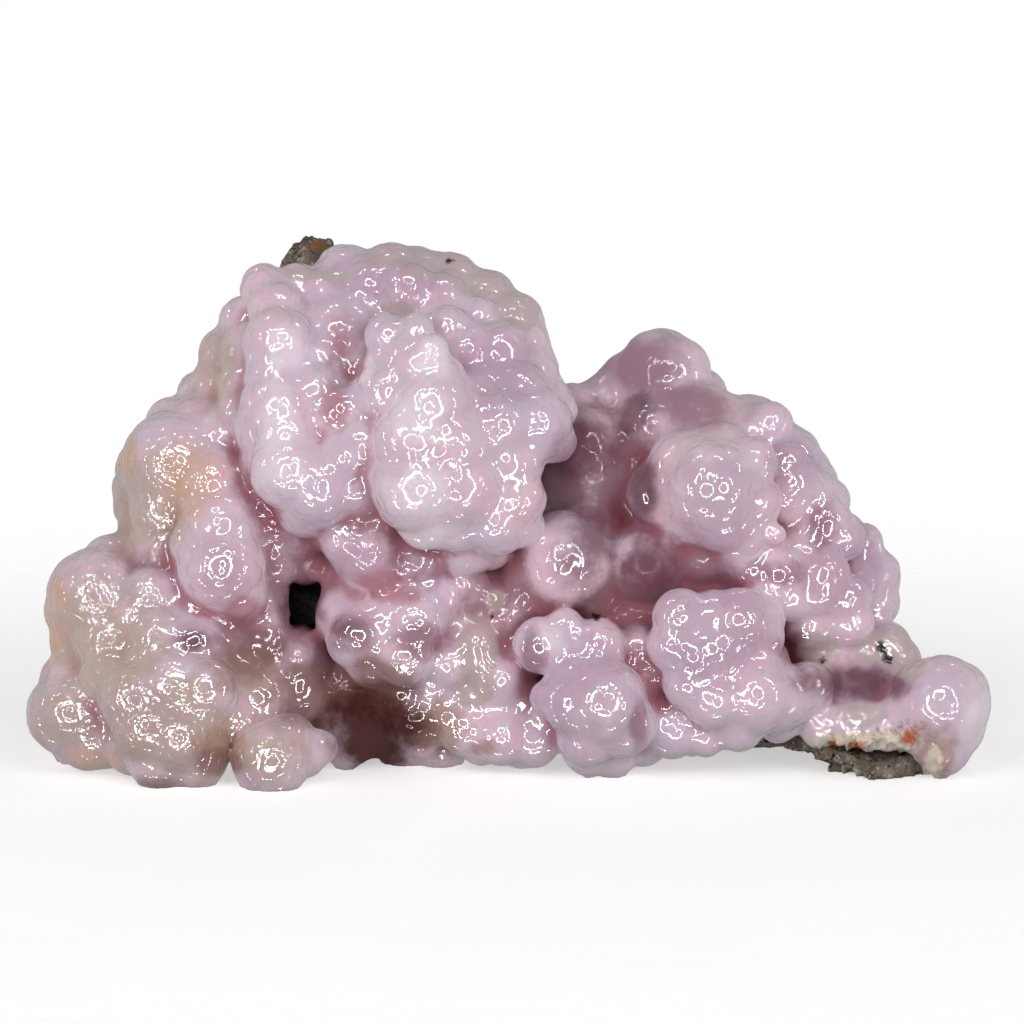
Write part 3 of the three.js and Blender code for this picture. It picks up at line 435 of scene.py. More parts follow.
# The stains, painted light and painted shade that fade in all the way from their edge to their middle.
SOFT_STAIN_LIGHT_AND_SHADE_PLACES = (
    "pale_and_lit", "aged", "mauve_shade", "deep_shade", "lilac", "peach", "tan", "brown_slope_shade", "rosy_shade", "hollow_shade", "rust", "soot",
)

# Crumbly growth over the rock that is sprinkled with dark grains: [u, v, radius u, radius v].
FLECKED = [[36.6, 3.0, 6.0, 2.4], [32.6, 2.8, 4.0, 1.6], [39.6, 4.6, 2.4, 1.2]]

# ---------------------------------------------------------------- the grid

AXES = [np.arange(low, high, CELL) for low, high in zip(LOW, HIGH)]
SHAPE = tuple(len(axis) for axis in AXES)
U, V, W = np.meshgrid(*AXES, indexing="ij", sparse=True)


def to_specimen(u, v, w):
    """The specimen's own x, y and z for a place in display-face axes, still in millimetres."""
    x = u + SHIFT_X
    y = v * math.sin(LEAN) - w * math.cos(LEAN) + SHIFT_Y
    z = v * math.cos(LEAN) + w * math.sin(LEAN)
    return x, y, z


def window(middle, reach):
    """The part of the grid within reach of a point: its slices, and the offsets along each axis."""
    slices = []
    offsets = []
    for axis, at, far in zip(AXES, middle, reach):
        start, stop = np.searchsorted(axis, [at - far, at + far])
        slices.append(slice(start, stop))
        offsets.append(axis[start:stop] - at)
    return tuple(slices), np.meshgrid(*offsets, indexing="ij", sparse=True)


def outside_ellipsoid(offsets, radii):
    """How far points lie outside an ellipsoid; negative inside it."""
    parts = [offset / radius for offset, radius in zip(offsets, radii)]
    scaled = np.sqrt(sum(part**2 for part in parts))
    slope = np.sqrt(sum((part / radius) ** 2 for part, radius in zip(parts, radii)))
    return scaled * (scaled - 1) / np.maximum(slope, 1e-6)


def melted(melt):
    """How deep each grid point lies inside the lobes and cores, run together with a given softness."""
    total = np.full(SHAPE, math.exp(-REACH / melt), np.float32)
    for lobe in [*itertools.chain(*LOBES.values()), *CORES]:
        radii = lobe[3:] if len(lobe) == 6 else [lobe[3]] * 3
        part, offsets = window(lobe[:3], [radius + REACH for radius in radii])
        power = -outside_ellipsoid(offsets, radii) / melt
        total[part] += np.exp(np.minimum(power, HIGHEST_POWER))
    return melt * np.log(total)


def depth_in_crust():
    """How deep each grid point lies inside the crust. There is a groove wherever two lobes meet, and a
    filling where more of them do."""
    crisp = melted(MELT)
    soft = melted(FILL)
    deepest = FILL * math.log(2)
    grooved = crisp - GROOVE * deepest * np.tanh((soft - crisp) / deepest)
    return RIND * np.logaddexp(grooved / RIND, (soft - FILL * math.log(4)) / RIND)


def dodecahedron_normals():
    """The twelve directions that a dodecahedron's faces look in."""
    long, short = GOLDEN / math.hypot(GOLDEN, 1), 1 / math.hypot(GOLDEN, 1)
    normals = []
    for a, b in itertools.product((-1, 1), repeat=2):
        normals += [(0, a * long, b * short), (a * long, b * short, 0), (a * short, 0, b * long)]
    return [Vector(normal) for normal in normals]


def outside_rock():
    """How far each grid point lies outside the chunks of host rock; negative inside them."""
    nearest = np.full(SHAPE, 2 * REACH, np.float32)
    for chunk in ROCK_CHUNKS:
        radii = Vector(chunk["radii"])
        turn = Euler([math.radians(angle) for angle in chunk["turns"]]).to_matrix()
        part, offsets = window(chunk["at"], [max(radii) + REACH] * 3)
        outside = np.full(nearest[part].shape, -np.inf, np.float32)
        for normal in dodecahedron_normals():
            stretched = Vector([n / r for n, r in zip(normal, radii)])
            direction = turn @ stretched.normalized()
            plane = sum(d * offset for d, offset in zip(direction, offsets)) - FLATNESS / stretched.length
            np.maximum(outside, plane, out=outside)
        nearest[part] = np.minimum(nearest[part], outside)
    return nearest


def outside_cuts():
    """How far each grid point lies past the flat base or a wavy broken face at the back."""
    x, y, z = to_specimen(U, V, W)
    past = np.broadcast_to(-z, SHAPE).copy()
    waves = BREAK_WAVES * (2 + np.sin(0.43 * x + 0.2 * z) + np.sin(0.5 * z - 0.27 * x))
    for cut in BREAKS:
        facing = Vector(cut["facing"]).normalized()
        gap = [coordinate - at for coordinate, at in zip((x, y, z), cut["at"])]
        np.maximum(past, sum(f * g for f, g in zip(facing, gap)) + waves, out=past)
    return past


def averaged(field, reach):
    """The field blurred over a soft ball with a reach in grid cells."""
    for axis in [0, 1, 2] * 3:
        total = np.cumsum(field, axis=axis, dtype=np.float32)
        last = field.shape[axis] - 1
        ahead = np.minimum(np.arange(last + 1) + reach, last)
        behind = np.maximum(np.arange(last + 1) - reach, 0)
        field = (np.take(total, ahead, axis=axis) - np.take(total, behind, axis=axis)) / (2 * reach)
    return field


def sample(field, points):
    """The values of a grid field at points that lie between its corners."""
    place = (points - LOW) / CELL
    corner = np.floor(place).astype(int)
    share = place - corner
    values = np.zeros(len(points))
    for offset in itertools.product((0, 1), repeat=3):
        weight = np.prod(np.where(offset, share, 1 - share), axis=1)
        i, j, k = (corner + offset).T
        values += weight * field[i, j, k]
    return values


def ease(low, high, values):
    """0 below low, 1 above high, and a smooth rise between; low may be the greater."""
    share = np.clip((values - low) / (high - low), 0, 1)
    return share * share * (3 - 2 * share)


# ---------------------------------------------------------------- meshes


def skin(outside, name):
    """The surface of a field that is negative inside the solid, as an object in display-face axes."""
    grid = openvdb.FloatGrid(2 * REACH)
    grid.copyFromArray(np.ascontiguousarray(outside, np.float32))
    points, triangles, quads = grid.convertToPolygons(isovalue=0.0, adaptivity=0.0)
    mesh = bpy.data.meshes.new(name)
    faces = [*triangles.tolist(), *quads[:, ::-1].tolist()]
    mesh.from_pydata((points * CELL + LOW).tolist(), [], faces)
    piece = bpy.data.objects.new(name, mesh)
    bpy.context.scene.collection.objects.link(piece)
    keep_largest_body(piece)
    return piece


def keep_largest_body(piece):
    """Leaves only the biggest body of a piece, without sealed hollows or loose crumbs."""
    shape = bmesh.new()
    shape.from_mesh(piece.data)
    unseen = set(shape.verts)
    bodies = []
    while unseen:
        front = [unseen.pop()]
        body = list(front)
        while front:
            for edge in front.pop().link_edges:
                for vert in edge.verts:
                    if vert in unseen:
                        unseen.remove(vert)
                        front.append(vert)
                        body.append(vert)
        bodies.append(body)
    bodies.sort(key=len)
    for body in bodies[:-1]:
        bmesh.ops.delete(shape, geom=body, context="VERTS")
    bmesh.ops.triangulate(shape, faces=shape.faces)
    bmesh.ops.recalc_face_normals(shape, faces=shape.faces)
    shape.to_mesh(piece.data)
    shape.free()


def thin_out(piece, spare, triangles):
    """Merges triangles until no more than the given number are left, first where the skin can spare them.
    It can do so everywhere to a tenth at least, so that no single region has to give them all and goes
    flat."""
    group = piece.vertex_groups.new(name="spare")
    tenths = np.round(np.maximum(spare, 0.1) * 10)
    for share in range(1, 11):
        members = np.flatnonzero(tenths == share)
        group.add(members.tolist(), share / 10, "REPLACE")
    thinner = piece.modifiers.new("thinner", "DECIMATE")
    thinner.ratio = min(1.0, triangles / len(piece.data.polygons))
    thinner.vertex_group = group.name
    thinner.vertex_group_factor = 1.0
    depsgraph = bpy.context.evaluated_depsgraph_get()
    thinned = bpy.data.meshes.new_from_object(piece.evaluated_get(depsgraph))
    piece.modifiers.clear()
    piece.data = thinned
    piece.vertex_groups.clear()


def points_of(piece):
    """A piece's points as an array."""
    points = np.empty(len(piece.data.vertices) * 3, np.float32)
    piece.data.vertices.foreach_get("co", points)
    return points.reshape(-1, 3).astype(float)


def normals_of(piece):
    """The direction that a piece's skin faces at each of its points."""
    normals = np.empty(len(piece.data.vertices) * 3, np.float32)
    piece.data.vertex_normals.foreach_get("vector", normals)
    return normals.reshape(-1, 3).astype(float)


def move_points(piece, points):
    """Puts a piece's points in new places."""
    piece.data.vertices.foreach_set("co", points.astype(np.float32).ravel())
    piece.data.update()


def even_out(piece, share, rounds):
    """Draws each point by its share of the way to the middle of its neighbours, a number of times."""
    points = points_of(piece)
    ends = np.empty(len(piece.data.edges) * 2, np.int32)
    piece.data.edges.foreach_get("vertices", ends)
    one, other = ends.reshape(-1, 2).T
    neighbours = np.bincount(ends, minlength=len(points))[:, None]
    for _ in range(rounds):
        middle = np.zeros_like(points)
        for axis in range(3):
            middle[:, axis] += np.bincount(one, points[other, axis], len(points))
            middle[:, axis] += np.bincount(other, points[one, axis], len(points))
        points = points + share[:, None] * (middle / neighbours - points)
    move_points(piece, points)


def carry_over(piece, points):
    """Puts a piece's points, in display-face axes, where they belong on the specimen, in metres. Those of
    the flat base are brought back onto the table."""
    points = np.stack(to_specimen(*points.T), axis=1) * MM
    points[:, 2] = np.where(points[:, 2] < BASE_BAND * MM, 0.0, points[:, 2])
    move_points(piece, points)


def write_layer(piece, name, values):
    """Keeps one number for each point of a piece under a name that its material can read."""
    layer = piece.data.attributes.new(name, "FLOAT", "POINT")
    layer.data.foreach_set("value", values.astype(np.float32))


def in_places(points, places):
    """How far points lie within any of the places [u, v, w, radius, how much]: as much as that up to half
    the radius, easing to 0 at the radius. How much is 1 where it isn't given."""
    share = np.zeros(len(points))
    for u, v, w, radius, *strength in places:
        distance = np.linalg.norm(points - [u, v, w], axis=1) / radius
        share = np.maximum(share, ease(1.0, 0.5, distance) * (strength[0] if strength else 1.0))
    return share


def seen_in_places(points, places, solid=SOLID):
    """The same for places [u, v, radius u, radius v] on the display face, whatever their depth. They are
    at full strength up to the given share of their radii."""
    share = np.zeros(len(points))
    for u, v, radius_u, radius_v in places:
        distance = np.hypot((points[:, 0] - u) / radius_u, (points[:, 1] - v) / radius_v)
        share = np.maximum(share, ease(1.0, solid, distance))
    return share


# ---------------------------------------------------------------- the two pieces


def scatter(points, spacing, random):
    """Picks points at random that keep their own spacing from one another."""
    room = spacing.max()
    boxes = {}  # the points chosen so far, by the cube of space that they lie in
    chosen = []
    for index in random.permutation(len(points)):
        point = points[index]
        home = tuple((point // room).astype(int))
        free = True
        for step in itertools.product((-1, 0, 1), repeat=3):
            for other in boxes.get((home[0] + step[0], home[1] + step[1], home[2] + step[2]), ()):
                if math.dist(point, points[other]) < (spacing[index] + spacing[other]) / 2:
                    free = False
        if free:
            boxes.setdefault(home, []).append(index)
            chosen.append(index)
    return np.array(chosen)


def across_knobs(points, normals):
    """How far each point lies from the middle of its nearest knob, as a share of the knob's radius."""
    random = np.random.default_rng(7)
    spacing = KNOB_SPACING * random.uniform(0.7, 1.3, len(points))
    seeds = scatter(points, spacing, random)
    tree = KDTree(len(seeds))
    for number, seed in enumerate(seeds):
        tree.insert(points[seed], number)
    tree.balance()
    found = [[(number, distance) for _, number, distance in tree.find_n(point, 4)] for point in points]
    number, distance = np.moveaxis(np.array(found), 2, 0)
    seed = seeds[number.astype(int)]
    turned = 1 - np.einsum("pc,pnc->pn", normals, normals[seed])  # keeps knobs on facing walls apart
    share = distance / (spacing[seed] * KNOB_RADIUS) * (1 + 0.5 * turned)
    return share.min(axis=1)


def buried_share(crowding):
    """1 where a point is walled in on nearly every side, 0 in the open."""
    return ease(0.72, 0.86, crowding)


def carve_crust(depth, rock, cuts):
    """The bare skin of the growth: cut off at the rock, the base and the back, with the vug let into it."""
    outside = np.maximum(np.maximum(-depth, SEAM - rock), cuts)
    for pit in VUG:
        part, offsets = window(pit["at"], [radius + REACH for radius in pit["radii"]])
        outside[part] = np.maximum(outside[part], -outside_ellipsoid(offsets, pit["radii"]))
    return skin(outside, "smithsonite_crust_skin")


def build_crust(depth, rock, cuts, packed):
    """The whole crust, with knobs and crumbs raised on its skin, and its stains, painted light and painted
    shade kept for the material.
    """
    piece = carve_crust(depth, rock, cuts)
    points = points_of(piece)
    behind = ease(-9.0, -12.0, points[:, 2])  # coarser there, where no fine knobs show
    buried = buried_share(sample(packed, points))
    thin_out(piece, np.maximum(buried, 0.1 + 0.3 * behind), CRUST_TRIANGLES)
    even_out(piece, EVENING + FLOWING * in_places(points_of(piece), FLOWING_PLACES), EVENING_ROUNDS)

    points = points_of(piece)
    normals = normals_of(piece)
    crowding = sample(packed, points)
    recess = sample(averaged(packed, WIDER), points)
    near_rock = sample(rock, points)
    grown = ease(0.45, 0.1, sample(depth, points))  # 0 where the crust is cut or broken through
    sugary = in_places(points, SUGARY_PLACES)
    smooth = in_places(points, SMOOTH_PLACES)
    cream = seen_in_places(points, STAIN_LIGHT_AND_SHADE_PLACES["cream"])
    clear = 1 - seen_in_places(points, STAIN_LIGHT_AND_SHADE_PLACES["hollow_shade"], 0.3)  # no crumbs in the hollow painted dark

    # Knobs stand on open ground that faces up or out, and relief says the same for the grains on them.
    lift = to_specimen(*normals.T)[2]  # 1 where the skin faces straight up, -1 where it faces down
    open_to_air = (1 - smooth) * (0.35 + 0.65 * ease(-0.95, -0.2, lift))
    knobby = grown * (0.3 + 0.7 * open_to_air * ease(0.66, 0.5, crowding))
    relief = grown * (0.3 + 0.7 * open_to_air * ease(0.8, 0.62, crowding))
    knob = across_knobs(points, normals)
    caps = np.sqrt(1 - (0.9 * np.minimum(knob, 1.05)) ** 2) - 0.85  # round, with grooves in between
    rise = (KNOB_RISE + (SUGARY_RISE - KNOB_RISE) * sugary) * knobby * caps

    crumble = ease(1.6, 0.3, near_rock) * (1 - buried_share(crowding)) * clear
    crumbs = np.array([noise.fractal(Vector(point) * 1.3, 1.0, 2.0, 3) for point in points])
    rise += crumbs * (0.02 + 0.2 * crumble + 0.7 * cream)
    carry_over(piece, points + normals * rise[:, None])

    dull = np.maximum.reduce([cream, crumble, 1 - clear])
    shade_strength = 0.45 + 0.55 * ease(-12.0, -5.0, points[:, 2])  # the back is paler in its creases, where less painted shade is laid
    layers = {  # the glaze is thin in recesses and on smooth places, and all but gone where it is dull
        "glaze": (1 - 0.88 * ease(0.35, 0.6, recess)) * (1 - 0.93 * smooth) * (1 - 0.9 * dull),
        "relief": relief,
        "sugary": sugary,
        # painted shade: darker, rosier colour in the creases and in the recesses between groups of lobes
        "crease_shade": ease(0.46, 0.74, crowding) * shade_strength,
        "recess": ease(0.33, 0.6, recess) * shade_strength,
        "crumble": ease(2.0, 0.4, near_rock) * grown * clear,
        "flecks": 0.3 * seen_in_places(points, FLECKED),
    }
    front = ease(-10.0, -5.0, points[:, 2])  # only the sandy skin runs on round the back
    for name, places in STAIN_LIGHT_AND_SHADE_PLACES.items():
        share = seen_in_places(points, places, 0.0 if name in SOFT_STAIN_LIGHT_AND_SHADE_PLACES else SOLID)
        layers[name] = share * (1 if name == "aged" else front)
    for name, values in layers.items():
        write_layer(piece, name, values)
    return piece


def splinter(point):
    """A height, up or down, for a point on bare rock: each splinter has its own, with roughness over it."""
    middle = noise.voronoi(point * SPLINTERS)[1][0]
    return 0.45 * noise.cell(middle * 3.1) + 0.3 * noise.fractal(point * 0.9, 0.8, 2.1, 4)


def chip(point):
    """How deep a flat, tilted chip is broken out of the back of the rock at a point."""
    place = point * CHIPS
    middle = noise.voronoi(place)[1][0]
    tilt = noise.cell_vector(middle * 3.1) - Vector((0.5, 0.5, 0.5))
    depth = 0.7 + 0.7 * noise.cell(middle * 5.3) + 1.6 * (place - middle).dot(tilt)
    return min(max(depth, 0.0), DEEPEST_CHIP)


def build_rock(depth, rock, cuts, packed):
    """The host rock: one chunk, rough and splintered wherever it is bare."""
    piece = skin(np.maximum(rock, cuts), "matrix_rock_skin")
    thin_out(piece, buried_share(sample(packed, points_of(piece))), ROCK_TRIANGLES)
    points = points_of(piece)
    bare = ease(0.1, -0.8, sample(depth, points))
    back = ease(-7.0, -11.0, points[:, 2])
    splinters = np.array([splinter(Vector(point)) for point in points])
    chips = np.array([chip(Vector(point)) for point in points])
    dent = np.abs(splinters) * (0.15 + 0.85 * bare) + chips * bare * back
    carry_over(piece, points - normals_of(piece) * dent[:, None])
    write_layer(piece, "rust", seen_in_places(points, STAIN_LIGHT_AND_SHADE_PLACES["rust"]) * (1 - back))
    # painted shade: the rock is darkened where it shows in the deep hollow and the vug
    write_layer(piece, "hollow_shade", seen_in_places(points, STAIN_LIGHT_AND_SHADE_PLACES["hollow_shade"]) * (1 - back))
    write_layer(piece, "weathered", 0.6 * back)
    return piece


# ---------------------------------------------------------------- materials

FACTOR, FIRST, SECOND = 0, 6, 7  # the inputs of a Mix node that blends colours
BLENDED = 2  # its output for colours

# The tints of the growth, and its painted light and shade, laid over one another in this order: the layer
# that holds the share, the colour, its full strength, and the size in mm of the patches that its edge
# breaks into.
TINTS_LIGHT_AND_SHADE = (
    # painted light over the palest growth: lighter on the front lobes and under the lip
    ("pale_and_lit", "#F8E8F2", 0.85, 4.0),
    ("lilac", "#C4A0B8", 0.6, 6.0),
    # painted shade: these five darken and redden the valleys, hollows, creases and shaded sides
    ("rosy_shade", "#B8707C", 0.66, 6.0),
    ("mauve_shade", "#9A6C80", 0.75, 6.0),
    ("deep_shade", "#6E4252", 0.72, 6.0),
    ("recess", "#86505F", 0.72, 6.0),
    ("crease_shade", "#B46874", 0.52, 3.0),
    ("aged", "#C2AC9C", 0.74, 4.0),
    ("peach", "#DDAE84", 0.52, 6.0),
    ("tan", "#B08C78", 0.7, 3.0),
    ("sage", "#C4B2AE", 0.66, 2.6),
    ("chalk", "#CABAB6", 0.7, 1.8),
    ("cream", "#E6DACA", 0.9, 0.5),
    ("flecks", "#6A5646", 0.85, 0.6),
    # painted shade in browns: the slope round the deep hollow, then the hollow and the vug themselves
    ("brown_slope_shade", "#8A6258", 0.78, 7.0),
    ("hollow_shade", "#4E2014", 0.94, 7.0),
    ("crumble", "#D9CDBC", 0.8, 0.7),
    ("rust", "#BE5E2A", 0.9, 0.5),
    ("soot", "#15100E", 1.0, 0.4),
)


def linear(colour):
    """An sRGB hex colour as linear red, green, blue and alpha."""
    channels = [int(colour[at : at + 2], 16) / 255 for at in (1, 3, 5)]
    curve = [c / 12.92 if c <= 0.04045 else ((c + 0.055) / 1.055) ** 2.4 for c in channels]
    return [*curve, 1.0]


def add(tree, kind, settings, inputs):
    """A node with its settings. Each input is given a value, or is linked to another node's output."""
    node = tree.nodes.new("ShaderNode" + kind)
    for name, value in settings.items():
        setattr(node, name, value)
    for name, value in inputs.items():
        if isinstance(value, bpy.types.NodeSocket):
            tree.links.new(value, node.inputs[name])
        else:
            node.inputs[name].default_value = value
    return node


def new_material(name):
    """An empty node material, with its node tree and the place of each point of the skin."""
    material = bpy.data.materials.new(name)
    material.use_nodes = True
    tree = material.node_tree
    tree.nodes.clear()
    return material, tree, add(tree, "TexCoord", {}, {}).outputs["Object"]


def stain_and_shade(tree, place, under, kept, colour, strength, patch):
    """Tints a colour where the piece keeps one of its layers (stains, painted light and painted shade),
    with an edge broken into patches of a size in mm.
    """
    share = add(tree, "Attribute", {"attribute_name": kept}, {}).outputs["Fac"]
    clouds = {"Vector": place, "Scale": 1 / (patch * MM), "Detail": 4.0, "Roughness": 0.6}
    clouds = add(tree, "TexNoise", {}, clouds).outputs["Fac"]
    ragged = {"Value": clouds, "From Min": 0.25, "From Max": 0.75, "To Min": -0.5, "To Max": 0.5}
    ragged = add(tree, "MapRange", {}, ragged).outputs["Result"]
    near = {"Value": share, "From Min": 0.0, "From Max": 0.35}
    near = add(tree, "MapRange", {"interpolation_type": "SMOOTHSTEP"}, near).outputs["Result"]
    spread = add(tree, "Math", {"operation": "MULTIPLY_ADD"}, {0: ragged, 1: near, 2: share}).outputs[0]
    strong = {"Value": spread, "From Min": 0.1, "From Max": 0.85, "To Max": strength}
    strong = add(tree, "MapRange", {"interpolation_type": "SMOOTHSTEP"}, strong).outputs["Result"]
    blend = {FACTOR: strong, FIRST: under, SECOND: linear(colour)}
    return add(tree, "Mix", {"data_type": "RGBA"}, blend).outputs[BLENDED]


def mottle(tree, place, under, colour, patch, start, full, strength=1.0):
    """Tints a colour in clouds of a size in mm. The tint starts and reaches its strength at the given
    values of their noise; start may be the greater."""
    clouds = {"Vector": place, "Scale": 1 / (patch * MM), "Detail": 4.0, "Roughness": 0.62}
    clouds = add(tree, "TexNoise", {}, clouds).outputs["Fac"]
    strong = {"Value": clouds, "From Min": start, "From Max": full, "To Max": strength}
    strong = add(tree, "MapRange", {"interpolation_type": "SMOOTHSTEP"}, strong).outputs["Result"]
    blend = {FACTOR: strong, FIRST: under, SECOND: linear(colour)}
    return add(tree, "Mix", {"data_type": "RGBA"}, blend).outputs[BLENDED]


def grain_height(tree, place, sugary):
    """Height in mm of round grains, nearly flat on top and steep where two of them meet."""
    fine = add(tree, "Math", {"operation": "GREATER_THAN"}, {0: sugary, 1: 0.5}).outputs[0]
    size = {0: fine, 1: SUGARY_GRAIN - GRAIN, 2: GRAIN}
    size = add(tree, "Math", {"operation": "MULTIPLY_ADD"}, size).outputs[0]
    scale = add(tree, "Math", {"operation": "DIVIDE"}, {0: 1 / MM, 1: size}).outputs[0]
    cells = add(tree, "TexVoronoi", {}, {"Vector": place, "Scale": scale}).outputs["Distance"]
    inside = add(tree, "Math", {"operation": "MINIMUM"}, {0: cells, 1: 0.66}).outputs[0]
    curve = add(tree, "Math", {"operation": "POWER"}, {0: inside, 1: 5.0}).outputs[0]
    drop = add(tree, "Math", {"operation": "MULTIPLY"}, {0: size, 1: -1.2}).outputs[0]
    return add(tree, "Math", {"operation": "MULTIPLY"}, {0: curve, 1: drop}).outputs[0]


def polished_grains(tree, place):
    """The surface of the polish: round grains, a faint ripple, and a sparkle where the skin is sugary."""
    relief = add(tree, "Attribute", {"attribute_name": "relief"}, {}).outputs["Fac"]
    sugary = add(tree, "Attribute", {"attribute_name": "sugary"}, {}).outputs["Fac"]
    grains = {0: grain_height(tree, place, sugary), 1: relief}
    grains = add(tree, "Math", {"operation": "MULTIPLY"}, grains).outputs[0]
    ripple = {"Vector": place, "Scale": 1 / (0.9 * MM), "Detail": 1.0}
    ripple = add(tree, "TexNoise", {}, ripple).outputs["Fac"]
    grains = add(tree, "Math", {"operation": "MULTIPLY_ADD"}, {0: ripple, 1: 0.02, 2: grains}).outputs[0]
    sparkle = {"Vector": place, "Scale": 1 / (0.3 * MM), "Detail": 1.0}
    sparkle = add(tree, "TexNoise", {}, sparkle).outputs["Fac"]
    sparkle = add(tree, "Math", {"operation": "MULTIPLY"}, {0: sparkle, 1: sugary}).outputs[0]
    height = add(tree, "Math", {"operation": "MULTIPLY_ADD"}, {0: sparkle, 1: 0.03, 2: grains}).outputs[0]
    bump = add(tree, "Bump", {}, {"Height": height, "Distance": MM, "Strength": 1.0})
    return bump.outputs["Normal"]


def smithsonite():
    """Botryoidal smithsonite, a glassy zinc carbonate. Light sinks millimetres into it and comes back rosy
    from the creases, and each small round grain has a polished shoulder that catches a thin bright ring.
    Its colour also holds painted light on the front lobes and painted shade in the creases, hollows and
    valleys."""
    material, tree, place = new_material("botryoidal_smithsonite")
    colour = mottle(tree, place, linear("#EACAD8"), "#DCC6D8", 11.0, 0.35, 0.65)
    colour = mottle(tree, place, colour, "#F6EAF0", 1.4, 0.3, 0.7, 0.2)
    for kept, tint, strength, patch in TINTS_LIGHT_AND_SHADE:
        colour = stain_and_shade(tree, place, colour, kept, tint, strength, patch)
    shader = add(
        tree,
        "BsdfPrincipled",
        {"subsurface_method": "RANDOM_WALK"},
        {
            "Base Color": colour,
            "Roughness": 0.5,
            "Specular IOR Level": 0.0,
            "Subsurface Weight": 1.0,
            "Subsurface Radius": (1.0, 0.45, 0.5),
            "Subsurface Scale": 0.7 * MM,
            "Coat Weight": add(tree, "Attribute", {"attribute_name": "glaze"}, {}).outputs["Fac"],
            "Coat Roughness": 0.09,
            "Coat IOR": 1.65,
            "Coat Normal": polished_grains(tree, place),
        },
    )
    add(tree, "OutputMaterial", {}, {"Surface": shader.outputs["BSDF"]})
    return material


def host_rock():
    """Iron-stained host rock, freshly broken: dull and dark, with pale mineral specks and ochre spots."""
    material, tree, place = new_material("iron_stained_host_rock")
    colour = mottle(tree, place, linear("#62564A"), "#827468", 14.0, 0.38, 0.62)  # beds
    colour = mottle(tree, place, colour, "#A39482", 2.6, 0.4, 0.68)  # coarse grit
    colour = mottle(tree, place, colour, "#D2CBC0", 0.7, 0.52, 0.64, 0.85)  # pale specks
    colour = mottle(tree, place, colour, "#8A6234", 1.1, 0.6, 0.7, 0.7)  # ochre spots
    colour = mottle(tree, place, colour, "#100D0B", 0.9, 0.42, 0.34, 0.9)  # dark pores
    colour = stain_and_shade(tree, place, colour, "weathered", "#70604E", 0.8, 9.0)
    colour = stain_and_shade(tree, place, colour, "rust", "#A8703A", 0.8, 0.6)
    # painted shade: near-black where the rock shows in the deep hollow and the vug
    colour = stain_and_shade(tree, place, colour, "hollow_shade", "#0D0908", 0.9, 0.9)
    grit = {"Vector": place, "Scale": 1 / (0.6 * MM), "Detail": 6.0, "Roughness": 0.7}
    grit = add(tree, "TexNoise", {}, grit).outputs["Fac"]
    bump = add(tree, "Bump", {}, {"Height": grit, "Distance": 0.6 * MM, "Strength": 1.0})
    dull = {"Value": grit, "From Min": 0.35, "From Max": 0.65, "To Min": 0.5, "To Max": 0.85}
    shader = add(
        tree,
        "BsdfPrincipled",
        {},
        {
            "Base Color": colour,
            "Roughness": add(tree, "MapRange", {}, dull).outputs["Result"],
            "Specular IOR Level": 0.08,
            "Normal": bump.outputs["Normal"],
        },
    )
    add(tree, "OutputMaterial", {}, {"Surface": shader.outputs["BSDF"]})
    return material


def table_paper():
    """Matt white paper under the specimen, which runs out into the white of the backdrop."""
    material, tree, place = new_material("matt_white_paper")
    colour = mottle(tree, place, linear("#FBFBFA"), "#F7F7F6", 40.0, 0.3, 0.7)
    finish = {"Roughness": 0.9, "Specular IOR Level": 0.0, "Emission Color": linear("#FFFFFF")}
    shader = add(tree, "BsdfPrincipled", {}, {"Base Color": colour, "Emission Strength": 0.5, **finish})
    distance = add(tree, "VectorMath", {"operation": "LENGTH"}, {0: place}).outputs["Value"]
    gone = {"Value": distance, "From Min": 45 * MM, "From Max": 150 * MM}
    gone = add(tree, "MapRange", {"interpolation_type": "SMOOTHSTEP"}, gone).outputs["Result"]
    clear = add(tree, "BsdfTransparent", {}, {})
    sheet = {0: gone, 1: shader.outputs["BSDF"], 2: clear.outputs["BSDF"]}
    sheet = add(tree, "MixShader", {}, sheet).outputs["Shader"]
    add(tree, "OutputMaterial", {}, {"Surface": sheet})
    return material


# ---------------------------------------------------------------- studio

AIM = Vector((SHIFT_X, -1.92, 25.41)) * MM  # what the camera looks at
OUT = Vector((0, -math.cos(LEAN), math.sin(LEAN)))  # straight out of the display face
CAMERA_DISTANCE = 700 * MM
VIEW_WIDTH = 102.4 * MM  # width of the view at the specimen
FLOOR_WIDTH = 900 * MM

# Eight strips in a ring round the camera, seen in each polished grain as a thin bright ring.
STRIPS = 8
STRIP_OFF_AXIS = 33  # degrees from the camera's axis
STRIP_DISTANCE = 600 * MM
STRIP_SIZE = (245 * MM, 75 * MM)
STRIP_RADIANCE = 32

# The two soft fills above the specimen: name, angle round the axis, and radiance.
FILLS = (("fill_left", 145, 2.9), ("fill_right", 35, 2.6))
FILL_OFF_AXIS = 32
FILL_DISTANCE = 700 * MM
FILL_SIZE = (300 * MM, 400 * MM)


def look_at(thing, target):
    """Turns a light or a camera towards a point."""
    thing.rotation_euler = (target - thing.location).to_track_quat("-Z", "Y").to_euler()


def place_camera():
    """The camera, straight in front of the display face."""
    data = bpy.data.cameras.new("camera")
    data.lens = data.sensor_width * CAMERA_DISTANCE / VIEW_WIDTH
    data.clip_start = 0.01
    data.clip_end = 20
    camera = bpy.data.objects.new("camera", data)
    camera.location = AIM + OUT * CAMERA_DISTANCE
    look_at(camera, AIM)
    bpy.context.scene.collection.objects.link(camera)
    bpy.context.scene.camera = camera


